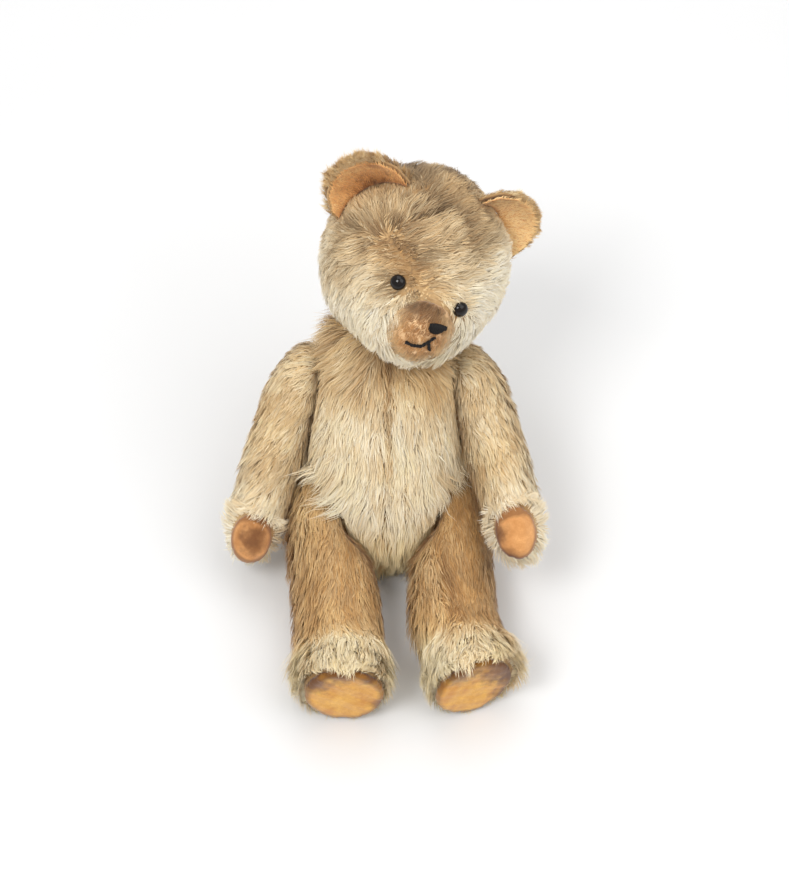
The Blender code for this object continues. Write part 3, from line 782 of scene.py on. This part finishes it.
# ---- torso ----
def torso_pile():
    axes = torso_frame()

    def seam(at, reach):
        return bell(at[:, 0] - 0.001, reach) * step(at[:, 1], 0.0, 0.02)

    def overhang(at, high):
        """The low sides of the belly, whose long hair hangs over the thighs."""
        return (1 - step(high, 0.18, 0.44)) * step(np.abs(at[:, 0]), 0.012, 0.040)

    def comb(roots):
        at, high = axes.placed(roots)
        part = np.clip(at[:, 0] / 0.012, -1, 1)
        flick = overhang(at, high) * np.sign(at[:, 0])
        shoulder = step(high, 0.74, 0.92) * step(np.abs(at[:, 0]), 0.012, 0.040) * np.sign(at[:, 0])
        gather = step(0.12 - high, 0.0, 0.2) * (1 - np.abs(flick))
        sideways = 0.10 * part + 1.6 * at[:, 0] + 0.8 * flick + 1.5 * shoulder - gather * 14 * at[:, 0]
        sideways += 0.16 * wobble(roots, 0.035, 11)
        return axes.world(np.stack((sideways, np.zeros(len(roots)), -np.ones(len(roots))), 1))

    def length(roots):
        at, high = axes.placed(roots)
        longer = (18 + 7 * wobble(roots, 0.012, 17)) * overhang(at, high) + 8 * (1 - step(high, -0.20, 0.05))
        longer += 4 * step(high, 0.80, 0.95)
        return (19 + longer + 2.5 * wobble(roots, 0.03, 12)) * MM * (1 - 0.35 * seam(at, 0.004))

    def lift(roots):
        at, high = axes.placed(roots)
        low = 1 - step(high, -0.05, 0.30)
        return 0.40 + 0.30 * seam(at, 0.005) + 0.22 * low + 0.07 * wobble(roots, 0.03, 13)

    def root(roots):
        at, high = axes.placed(roots)
        front = step(at[:, 1], -0.01, 0.02) * (1 - step(high, 0.65, 0.9))
        return 0.25 + 0.50 * front * (1 - seam(at, 0.004)) + 0.20 * (1 - step(high, -0.20, 0.05))

    def tint(roots, shade, rng):
        at, high = axes.placed(roots)
        front = step(at[:, 1], 0.0, 0.03)
        light = 0.75 + 0.14 * front * (1 - step(high, 0.50, 0.75)) + 0.05 * wobble(roots, 0.02, 14)
        # The step at the end darkens the top of the torso: partly its browner fur, partly painted shade under
        # the head.
        light += 0.05 * wobble(at * np.array((1, 1, 0.3)), 0.010, 16) - 0.12 * step(high, 0.66, 0.90)
        # Painted shade under the chin.
        light -= 0.12 * step(high, 0.80, 0.95) * bell(at[:, 0] + 0.004, 0.016)
        # Painted shade along the seam, where the pile parts.
        light -= 0.30 * seam(at, 0.0025) * step(high, 0.10, 0.45)
        # Painted shade on the flanks, where the arms hang against the torso.
        light -= 0.06 * step(np.abs(at[:, 0]), 0.050, 0.064)
        tip = 1 - step(high, -0.25, 0.12)
        light += 0.14 * tip
        warmth = 0.42 + 0.85 * tip + 0.20 * step(high, 0.60, 0.85) + 0.15 * wobble(roots, 0.04, 15)
        return tufts(warmth, light, shade, rng)

    rules = dict(BASE_RULES, comb=comb, length=length, lift=lift, tint=tint, root=root, over=6.5 * MM)
    rules["keep"] = clear_of("torso")
    coat("torso", 28000, 12500, rules, 1)


# ---- head ----
HEAD = head_frame()
HEAD_MIDDLE = centre("head_stuffing")
FACE = {name: HEAD.local(centre(name)) for name in ("left_eye", "right_eye", "nose_stitching")}


# In the head's frame: the whorl on the forehead, and the bridge of the nose.
WHORL = np.array((-0.039, 0.045, 0.088))
BRIDGE = np.array((-0.003, 0.081, 0.062))


def from_parting(at):
    """Away from the parting that runs from the whorl on the forehead to the bridge of the nose."""
    run = BRIDGE - WHORL
    share = np.clip((at - WHORL) @ run / (run @ run), 0, 1)[:, None]
    return at - (WHORL + share * run)


def beside_eyes(at, reach):
    """For each eye, how near each place of the head is to it."""
    eyes = (FACE[f"{side}_eye"] for side in SIDES)
    return [bell(norm(at - eye), reach) for eye in eyes]


def head_pile():
    ears = node_tree("left_ear_lining", "right_ear_lining")
    eyes = node_tree("left_eye", "right_eye")
    panel = node_tree("muzzle_panel")

    def comb(roots):
        at = HEAD.local(roots)
        away = from_parting(at)
        far = norm(away)[:, None]
        ways = away / np.maximum(far, 1e-6)
        ways = ways + bell(far, 0.02) * 0.5 * np.cross(unit(at), ways)
        below = step(BRIDGE[2] - at[:, 2], -0.004, 0.022)[:, None]
        ways = ways * (1 - 0.45 * below) + below * np.array((0.0, 0.1, -0.9))
        above = step(at[:, 2], 0.085, 0.115)[:, None]
        ways = ways + above * np.array((0.25, -0.5, 0.1))
        ways[:, 0] += 0.14 * wobble(roots, 0.035, 21)
        ways[:, 2] += 0.14 * wobble(roots, 0.035, 22)
        beside = bell(distance_to(panel, roots, 30 * MM), 0.009)[:, None]
        ways += 1.5 * beside * unit(FACE["nose_stitching"] - at)
        return HEAD.world(ways)

    def length(roots):
        at = HEAD.local(roots)
        near = bell(norm(at - FACE["nose_stitching"]), 0.030)
        near_eyes = np.clip(sum(beside_eyes(at, 0.012)), 0, 1)
        lining = bell(distance_to(ears, roots, 50 * MM), 0.020)
        parting = bell(norm(from_parting(at)), 0.012)
        low = 1 - step(at[:, 2], 0.035, 0.065)
        shorter = 0.45 * near + 0.35 * near_eyes + 0.7 * lining + 0.15 * low + 0.45 * parting
        return (17 + 2 * wobble(roots, 0.03, 23)) * MM * (1 - np.clip(shorter, 0, 0.75))

    def lift(roots):
        at = HEAD.local(roots)
        low = 1 - step(at[:, 2], 0.035, 0.070)
        return 0.44 - 0.12 * low + 0.08 * wobble(roots, 0.03, 24)

    def tint(roots, shade, rng):
        at = HEAD.local(roots)
        crown = step(at[:, 2] - 0.35 * at[:, 0] - 0.4 * np.maximum(at[:, 0] - 0.015, 0), 0.045, 0.098)
        light = 0.95 - 0.46 * crown + 0.05 * wobble(roots, 0.018, 25)
        light -= 0.16 * step(at[:, 2], 0.085, 0.120)
        # Paler on one side below the crown: partly the cheek's paler fur, partly painted light on that side
        # of the face.
        light += 0.08 * step(at[:, 0], 0.015, 0.05) * (1 - crown)
        brow = bell(norm(from_parting(at)), 0.012)
        # Painted shade along the parting, where the pile parts.
        light -= 0.20 * brow
        # Darker round the eyes: partly darker fur, partly painted shade in the hollows the eyes sit in.
        light -= 0.34 * sum(beside_eyes(at, 0.009))
        warmth = 0.26 - 0.10 * crown + 0.25 * brow + 0.20 * step(-at[:, 1], -0.01, 0.05)
        warmth += 0.12 * wobble(roots, 0.03, 26)
        return tufts(warmth, light, shade * (1 + 0.25 * crown), rng)

    def root(roots):
        return 0.20 + 0.60 * (1 - step(HEAD.local(roots)[:, 2], 0.050, 0.095))

    rules = dict(BASE_RULES, comb=comb, length=length, lift=lift, tint=tint, root=root, clump=18, lock=8)
    # gap here makes the painted shade between the head's locks stronger.
    rules.update(pull=0.62, hold=0.5, wave=0.13, over=2.0 * MM, gap=2.1)
    rules["keep"] = clear_of("head", (panel, 2.2 * MM), (eyes, 1.5 * MM), (ears, 1.5 * MM))
    coat("head", 29500, 12500, rules, 2)


# ---- arms and legs ----
def arm_pile(side):
    body = f"{side}_arm"
    axes = limb_frame(side, "shoulder", "arm")
    pad = axes.local(centre(f"{body}_pad"))

    def comb(roots):
        at, far = axes.placed(roots)
        paw = step(far, 0.70, 0.95)[:, None]
        ways = np.tile((0.12, 0.0, 1.0), (len(roots), 1))
        ways[:, 0] += 0.30 * wobble(roots, 0.04, 31) + 1.2 * (1 - step(far, -0.12, 0.16))
        return axes.world(ways * (1 - 0.7 * paw) + unit(at - pad) * paw)

    def length(roots):
        _, far = axes.placed(roots)
        short = 0.45 * (1 - step(far, -0.12, 0.12))
        return (14 + 2 * wobble(roots, 0.03, 32) + 3 * step(far, 0.7, 0.95)) * MM * (1 - short)

    def lift(roots):
        _, far = axes.placed(roots)
        return 0.42 - 0.12 * (1 - step(far, -0.12, 0.12)) + 0.08 * wobble(roots, 0.03, 33)

    def root(roots):
        return 0.20 + 0.40 * step(axes.placed(roots)[1], 0.6, 0.9)

    def tint(roots, shade, rng):
        at, far = axes.placed(roots)
        paw = step(far, 0.65, 0.95)
        light = 0.76 + 0.05 * wobble(roots, 0.02, 34) + 0.18 * paw
        light += 0.05 * wobble(at * np.array((1, 1, 0.3)), 0.010, 36)
        warmth = 0.50 + 0.15 * wobble(roots, 0.04, 35) - 0.20 * paw
        return tufts(warmth, light, shade, rng)

    rules = dict(BASE_RULES, comb=comb, length=length, lift=lift, tint=tint, root=root, over=1.5 * MM)
    rules["keep"] = clear_of(body, (node_tree(f"{body}_pad"), 2.4 * MM))
    coat(body, 14000, 6000, rules, 3 + SIDES.index(side))


def leg_pile(side):
    body = f"{side}_leg"
    axes = limb_frame(side, "hip", "leg")

    def foot(far):
        return step(far, 0.70, 0.84)

    def sole_edge(far):
        return step(far, 0.80, 0.96)

    def inner(at, far):
        """The long hair that is left along the inside of the left leg."""
        if side == "right":
            return np.zeros(len(at))
        return step(-at[:, 0], 0.009, 0.021) * step(far, 0.20, 0.45)

    def outside(at):
        """The right leg keeps a thicker pile on its outside."""
        return step(at[:, 0], 0.006, 0.024) * (side == "right")

    def comb(roots):
        at, far = axes.placed(roots)
        ways = np.tile((0.0, 0.0, 1.0), (len(roots), 1))
        ways[:, 0] += 0.25 * wobble(roots, 0.04, 41)
        away = unit(at * np.array((1, 1, 0)))
        edge = sole_edge(far)[:, None]
        ruff = foot(far)[:, None]
        return axes.world(ways * (1 - 0.25 * ruff - 0.4 * edge) + away * (1.15 * ruff + 0.2 * edge))

    def length(roots):
        at, far = axes.placed(roots)
        ruff = np.maximum(foot(far), 0.5 * inner(at, far))
        short = 13 + 1.5 * wobble(roots, 0.02, 42) + 7 * outside(at)
        long = 26 + 5 * wobble(roots, 0.014, 43)
        under = foot(far) * (1 - step(at[:, 1], -0.025, 0.010))
        return (short * (1 - ruff) + long * ruff) * MM * (1 - 0.25 * under) * (1 - 0.25 * sole_edge(far))

    def lift(roots):
        at, far = axes.placed(roots)
        ruff = np.maximum(foot(far), 0.6 * inner(at, far))
        return 0.26 + 0.38 * ruff + 0.22 * outside(at) + 0.06 * wobble(roots, 0.02, 44)

    def root(roots):
        at, far = axes.placed(roots)
        return 0.30 + 0.52 * np.maximum(foot(far), inner(at, far))

    def tint(roots, shade, rng):
        at, far = axes.placed(roots)
        ruff = foot(far)
        light = (0.60 if side == "right" else 0.50) + 0.06 * wobble(roots, 0.022, 45)
        light += 0.40 * ruff + 0.26 * inner(at, far)
        light += 0.08 * wobble(at * np.array((1, 1, 0.22)), 0.009, 46)
        light += 0.06 * (1 - step(far, 0.05, 0.35))
        worn = bell(far - 0.62, 0.16) * step(at[:, 1], 0.0, 0.02)
        light -= (0.10 if side == "left" else 0.05) * worn
        warmth = 0.86 - 0.22 * ruff
        return tufts(warmth, light, shade, rng, 0.05, 0.04 + 0.02 * ruff)

    rules = dict(BASE_RULES, comb=comb, length=length, lift=lift, tint=tint, root=root, over=1.0 * MM)
    rules.update(weight=lambda roots: 1 + 0.9 * foot(axes.placed(roots)[1]), pull=0.5, wild=0.08)
    rules["keep"] = clear_of(body, (node_tree(f"{body}_pad"), 1.9 * MM))
    coat(body, 19000, 8000, rules, 5 + SIDES.index(side))


# ---- pads ----
def puff(thing, height):
    """Lifts the cloth a little and leaves it uneven."""
    places = coordinates(thing.data)
    swell(thing, height * (1 + 0.6 * wobble(places, 0.012, 51) + 0.25 * wobble(places, 0.004, 52)))


PAD_SHADES = {"arm": ((190, 130, 74), (224, 166, 106)), "leg": ((202, 134, 44), (240, 186, 80))}
# Stains on each pad: how far across and up in the pad's box, and their reach.
STAINS = {
    "left_leg": ((0.42, 0.78, 0.014), (0.72, 0.72, 0.020), (0.93, 0.56, 0.014), (0.84, 0.18, 0.009)),
    "right_leg": ((0.50, 0.90, 0.011), (0.10, 0.74, 0.012), (0.82, 0.86, 0.008), (0.98, 0.42, 0.008)),
    "left_arm": ((0.14, 0.30, 0.008), (0.45, 0.02, 0.007)),
    "right_arm": ((0.62, 0.62, 0.011), (0.80, 0.95, 0.006)),
}


def make_pad(body):
    node = f"{body}_pad"
    low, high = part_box(node)
    size = (np.array(high) - np.array(low))[[0, 2]]
    places = coordinates(frame["nodes"][node].data)
    spots = []
    for across, up, reach in STAINS[body]:
        off = (places - np.array(low))[:, [0, 2]] - size * (across, up)
        near = np.argsort(norm(off))[:4]
        spots.append((Vector(places[min(near, key=lambda row: places[row, 1])]), reach))
    pad = remeshed(f"{body}_velveteen", [node], PAD_VOXEL, 3)
    puff(pad, 1.1 * MM)
    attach(pad, body)
    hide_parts(node)
    # The pad's dark rim: partly soiling, partly painted shade under the overhanging pile.
    half = (high - low) / 2
    half.y = 10.0 if "leg" in body else half.y * 1.6
    rim = ((low + high) / 2, half)
    look = stained(f"{body}_velveteen", *PAD_SHADES[body.split("_")[-1]], spots, (96, 56, 30), rim=rim)
    pad.data.materials.append(look)


# ---- face ----
def axis_of(node):
    """Where an eye's dome looks, and the top of the dome."""
    places = coordinates(frame["nodes"][node].data)
    order = np.argsort(norm(places - HEAD_MIDDLE))
    back, front = places[order[:6]].mean(axis=0), places[order[-6:]].mean(axis=0)
    return Vector(front), Vector(front - back).normalized()


def make_eye(side):
    top, facing = axis_of(f"{side}_eye")
    bm = bmesh.new()
    bmesh.ops.create_uvsphere(bm, u_segments=32, v_segments=20, radius=1)
    turn = facing.to_track_quat("Z", "Y").to_matrix().to_4x4()
    radius, bulge = 5.9 * MM, 4.4 * MM
    for vertex in bm.verts:
        vertex.co.z = max(vertex.co.z, -0.35)
    shape = Matrix.Diagonal((radius, radius, bulge, 1))
    bm.transform(Matrix.Translation(top - facing * bulge) @ turn @ shape)
    eye = object_of(f"{side}_glass_eye", bm)
    eye.data.shade_smooth()
    eye.data.materials.append(EYE_GLASS)
    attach(eye, "head")
    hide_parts(f"{side}_eye")


def floss_piece(name, lines, radius, node):
    curve = bpy.data.curves.new(name, "CURVE")
    curve.dimensions = "3D"
    curve.bevel_depth = radius
    curve.bevel_resolution = 3
    curve.use_fill_caps = True
    for line in lines:
        spline = curve.splines.new("POLY")
        spline.points.add(len(line) - 1)
        for point, place in zip(spline.points, line):
            point.co = (*place, 1)
    thing = object_from(name, curve)
    curve.materials.append(FLOSS)
    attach(thing, "head")
    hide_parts(node)
    return thing


def centre_line(node, axis, count):
    """The middle line of a stitch, from its solid, sorted along one axis of the head."""
    places = coordinates(frame["nodes"][node].data)
    at = HEAD.local(places)[:, axis]
    edges = np.linspace(at.min() - 1e-6, at.max() + 1e-6, count + 1)
    rows = [places[(at >= low) & (at < high)] for low, high in zip(edges, edges[1:])]
    return np.array([row.mean(axis=0) for row in rows if len(row)])


def twisted(line, radius, turns):
    """Two plies wound round a line."""
    share = np.linspace(0, 1, len(line) * 5)
    spots = np.linspace(0, 1, len(line))
    at = np.stack([np.interp(share, spots, line[:, axis]) for axis in range(3)], axis=1)
    along = unit(np.gradient(at, axis=0))
    up = unit(at - HEAD_MIDDLE)
    side = unit(np.cross(along, up))
    up = np.cross(side, along)
    plies = []
    for start in (0, math.pi):
        angle = start + share * turns * math.tau
        plies.append(at + radius * (side * np.cos(angle)[:, None] + up * np.sin(angle)[:, None]))
    return plies


def make_nose():
    """Satin stitches side by side, long in the middle and short at the ends."""
    low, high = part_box("nose_stitching")
    middle = np.array((low + high) / 2)
    out = unit(middle - HEAD_MIDDLE)
    side = unit(HEAD.axes[0] - out * np.dot(HEAD.axes[0], out))
    up = np.cross(out, side)
    up *= np.sign(np.dot(up, HEAD.axes[2]))
    lines = []
    stitches = 11
    for number in range(stitches):
        across = (number / (stitches - 1) - 0.5) * 2
        top = 3.2 * MM * (1 - 0.3 * across * across)
        bottom = -4.6 * MM * max(0.0, 1 - (across + 0.2) ** 2) ** 0.7 - 0.3 * MM
        bulge = 2.6 * MM * math.sqrt(1 - 0.8 * across * across)
        line = []
        for turn in np.linspace(0, math.pi, 9):
            height = bottom + (top - bottom) * (0.5 + 0.5 * math.cos(turn))
            proud = bulge * math.sin(turn) + 0.6 * MM
            line.append(middle + side * across * 6.2 * MM + up * height + out * proud)
        lines.append(line)
    floss_piece("nose_floss", lines, 0.72 * MM, "nose_stitching")


def make_mouth():
    for node, axis, count in (("mouth_long_stitch", 0, 12), ("mouth_short_stitch", 2, 5)):
        line = centre_line(node, axis, count)
        line = line + unit(line - HEAD_MIDDLE) * 0.4 * MM
        floss_piece(node.replace("stitch", "floss"), twisted(line, 0.55 * MM, count / 3), 0.8 * MM, node)


def make_muzzle():
    muzzle = remeshed("muzzle_velveteen", ["muzzle_panel"], PAD_VOXEL, 3)
    puff(muzzle, 0.4 * MM)
    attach(muzzle, "head")
    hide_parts("muzzle_panel")
    nose = centre("nose_stitching")
    middle = centre("muzzle_panel")
    bridge = HEAD.origin + HEAD.world(BRIDGE)
    bald = ((0.0, 0.0, 0.0), 10), ((-0.010, 0.0, -0.008), 7), ((0.010, 0.004, -0.012), 6)
    spots = [(Vector(bridge + HEAD.world(np.array(away))), reach * MM) for away, reach in bald]
    look = stained("muzzle_velveteen", (206, 160, 112), (236, 200, 152), spots, (122, 92, 66))
    muzzle.data.materials.append(look)

    def comb(roots):
        return HEAD.world(np.array((-0.3, 0.0, -1.0))) + 0.3 * (roots - nose) / 0.02

    def rim(roots):
        return step(norm(roots - middle), 0.014, 0.023)

    def length(roots):
        return (3.2 + 3.0 * rim(roots)) * MM

    def tint(roots, shade, rng):
        worn = bell(norm(roots - bridge), 0.017)
        edge = rim(roots) * (1 - worn)
        light = 0.47 + 0.05 * wobble(roots, 0.01, 62) - 0.30 * worn + 0.42 * edge
        return tufts(0.66 - 0.5 * worn - 0.35 * edge, light, shade, rng, 0.06, 0.04)

    rules = dict(BASE_RULES, comb=comb, length=length, lift=even(0.45), tint=tint, rings=NAP_RINGS)
    rules["width"] = 0.3 * MM
    rules["keep"] = lambda roots, normals: (normals * unit(roots - HEAD_MIDDLE)).sum(axis=1) > 0.3
    pile("muzzle_nap", "head", muzzle, 9000, rules, 20, fleece="velveteen")


# ---- ears ----
FRINGE = {"left": 5.0 * MM, "right": 9.5 * MM}  # length of the ears' pile, worn down on the left ear
HOLLOW_SHADE = {"left": 8 * MM, "right": 21 * MM}  # reach of the painted shade in the lining's hollow by the head
BRIGHT = {"left": 0.97, "right": 0.86}  # how pale the lining's nap is, lowered on the right ear for painted shade


def make_ear(side):
    back = remeshed(f"{side}_ear_cloth", [f"{side}_ear_back"], EAR_VOXEL, 4)
    lining = remeshed(f"{side}_ear_velveteen", [f"{side}_ear_lining"], EAR_VOXEL * 0.75, 4)
    base = centre(f"{side}_ear_back")
    out = unit(base - HEAD_MIDDLE)
    front = unit(centre(f"{side}_ear_lining") - base)
    front = unit(front - out * np.dot(front, out))
    for thing, node, slot in ((back, "back", "mohair"), (lining, "lining", "velveteen")):
        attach(thing, "head")
        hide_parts(f"{side}_ear_{node}")
    back.data.materials.append(SKIN_CLOTH)
    reach = norm(coordinates(back.data) - HEAD_MIDDLE).max()
    hollow = base - out * 0.012
    # The dark hollow is painted shade, put on the lining as one of its stains.
    spots = ((Vector(hollow), HOLLOW_SHADE[side]),)
    look = stained(f"{side}_ear_velveteen", (206, 138, 84), (240, 184, 126), spots, (104, 64, 38))
    lining.data.materials.append(look)

    def comb_back(roots):
        return out + 0.6 * unit(roots - base)

    def far(roots):
        return step(norm(roots - HEAD_MIDDLE), reach - 0.016, reach - 0.003)

    def length(roots):
        return FRINGE[side] + 1.5 * MM * wobble(roots, 0.004, 71)

    def tint(roots, shade, rng):
        light = 0.70 + 0.08 * wobble(roots, 0.01, 73)
        return tufts(0.7, light, shade, rng)

    def outer(roots, normals):
        return (normals @ front < 0.45) | (far(roots) > 0.6)

    rules = dict(BASE_RULES, keep=outer, comb=comb_back, length=length, tint=tint, width=0.34 * MM)
    rules["weight"] = lambda roots: 0.5 + 1.5 * far(roots)
    rules["lift"] = lambda roots: 0.45 + 0.1 * wobble(roots, 0.01, 72)
    rules["root"] = lambda roots: 0.3 + 0.3 * far(roots)
    rules.update(clump=6, pull=0.12, wild=0.30)
    pile(f"{side}_ear_pile", "head", back, 7000, rules, 30 + SIDES.index(side))

    def nap_tint(roots, shade, rng):
        # Painted shade: the nap darkens towards the hollow by the head.
        shaded = bell(norm(roots - hollow), 1.1 * HOLLOW_SHADE[side])
        light = BRIGHT[side] + 0.04 * wobble(roots, 0.01, 76) - 0.8 * shaded
        return tufts(0.98, light, shade, rng, 0.07, 0.05)

    def nap_length(roots):
        return (3.2 + 2.0 * far(roots)) * MM

    inner = dict(rules, weight=even(1.0), length=nap_length, lift=even(0.25), root=even(0.9), tint=nap_tint)
    inner.update(rings=NAP_RINGS, width=0.40 * MM, keep=lambda roots, normals: normals @ front > 0.1)
    pile(f"{side}_ear_nap", "head", lining, 6500, inner, 32 + SIDES.index(side), fleece="velveteen")


# ---- hardware ----
def finish_hardware():
    board = hard_material("hardboard", (62, 38, 20), (96, 64, 36), 0.7)
    steel = hard_material("steel", (120, 118, 114), (168, 168, 170), 0.4, 1.0, 500.0)
    for name, node in frame["nodes"].items():
        finish = board if "_disc_" in name else steel if "_washer_" in name or "cotter" in name else None
        if finish:
            node.data.materials.clear()
            node.data.materials.append(finish)


# ---- stage ----
def make_stage():
    bm = bmesh.new()
    bmesh.ops.create_grid(bm, x_segments=2, y_segments=2, size=9.0)
    floor = object_of("floor", bm)
    made, _ = grained("floor", 3.0, 2.0, (0.3, 0.76), (0.7, 0.78), Roughness=0.9)
    floor.data.materials.append(made.material)
    world = bpy.data.worlds.new("studio")
    bpy.context.scene.world = world
    world.use_nodes = True
    background = world.node_tree.nodes["Background"].inputs
    background["Color"].default_value = rgba(1.0)
    background["Strength"].default_value = 0.62
    area_light("key", (-1.2, -1.4, 3.0), 1.2, 52)
    area_light("fill", (1.8, -0.8, 2.6), 2.4, 32)
    area_light("top", (0.1, 1.0, 3.0), 2.4, 26)
    bpy.context.scene.view_settings.view_transform = "Standard"


def area_light(name, place, size, power):
    lamp = bpy.data.lights.new(name, "AREA")
    lamp.size = size
    lamp.energy = power
    thing = object_from(name, lamp)
    thing.location = place
    thing.rotation_euler = (CAMERA_AIM - Vector(place)).to_track_quat("-Z", "Y").to_euler()


def make_camera():
    lens = bpy.data.cameras.new("camera")
    lens.sensor_fit = "VERTICAL"
    lens.sensor_height = 24.0
    lens.lens = lens.sensor_height * CAMERA_DISTANCE / VIEW_HEIGHT
    camera = object_from("camera", lens)
    away = Vector((0.0, -math.cos(CAMERA_RISE), math.sin(CAMERA_RISE)))
    camera.location = CAMERA_AIM + away * CAMERA_DISTANCE
    camera.rotation_euler = (-away).to_track_quat("-Z", "Y").to_euler()
    bpy.context.scene.camera = camera


EYE_GLASS = eye_material()
FLOSS = floss_material()
make_camera()
make_stage()
finish_hardware()
torso_pile()
head_pile()
for each_side in SIDES:
    arm_pile(each_side)
    leg_pile(each_side)
    make_ear(each_side)
    make_eye(each_side)
for body in STAINS:
    make_pad(body)
make_muzzle()
make_nose()
make_mouth()
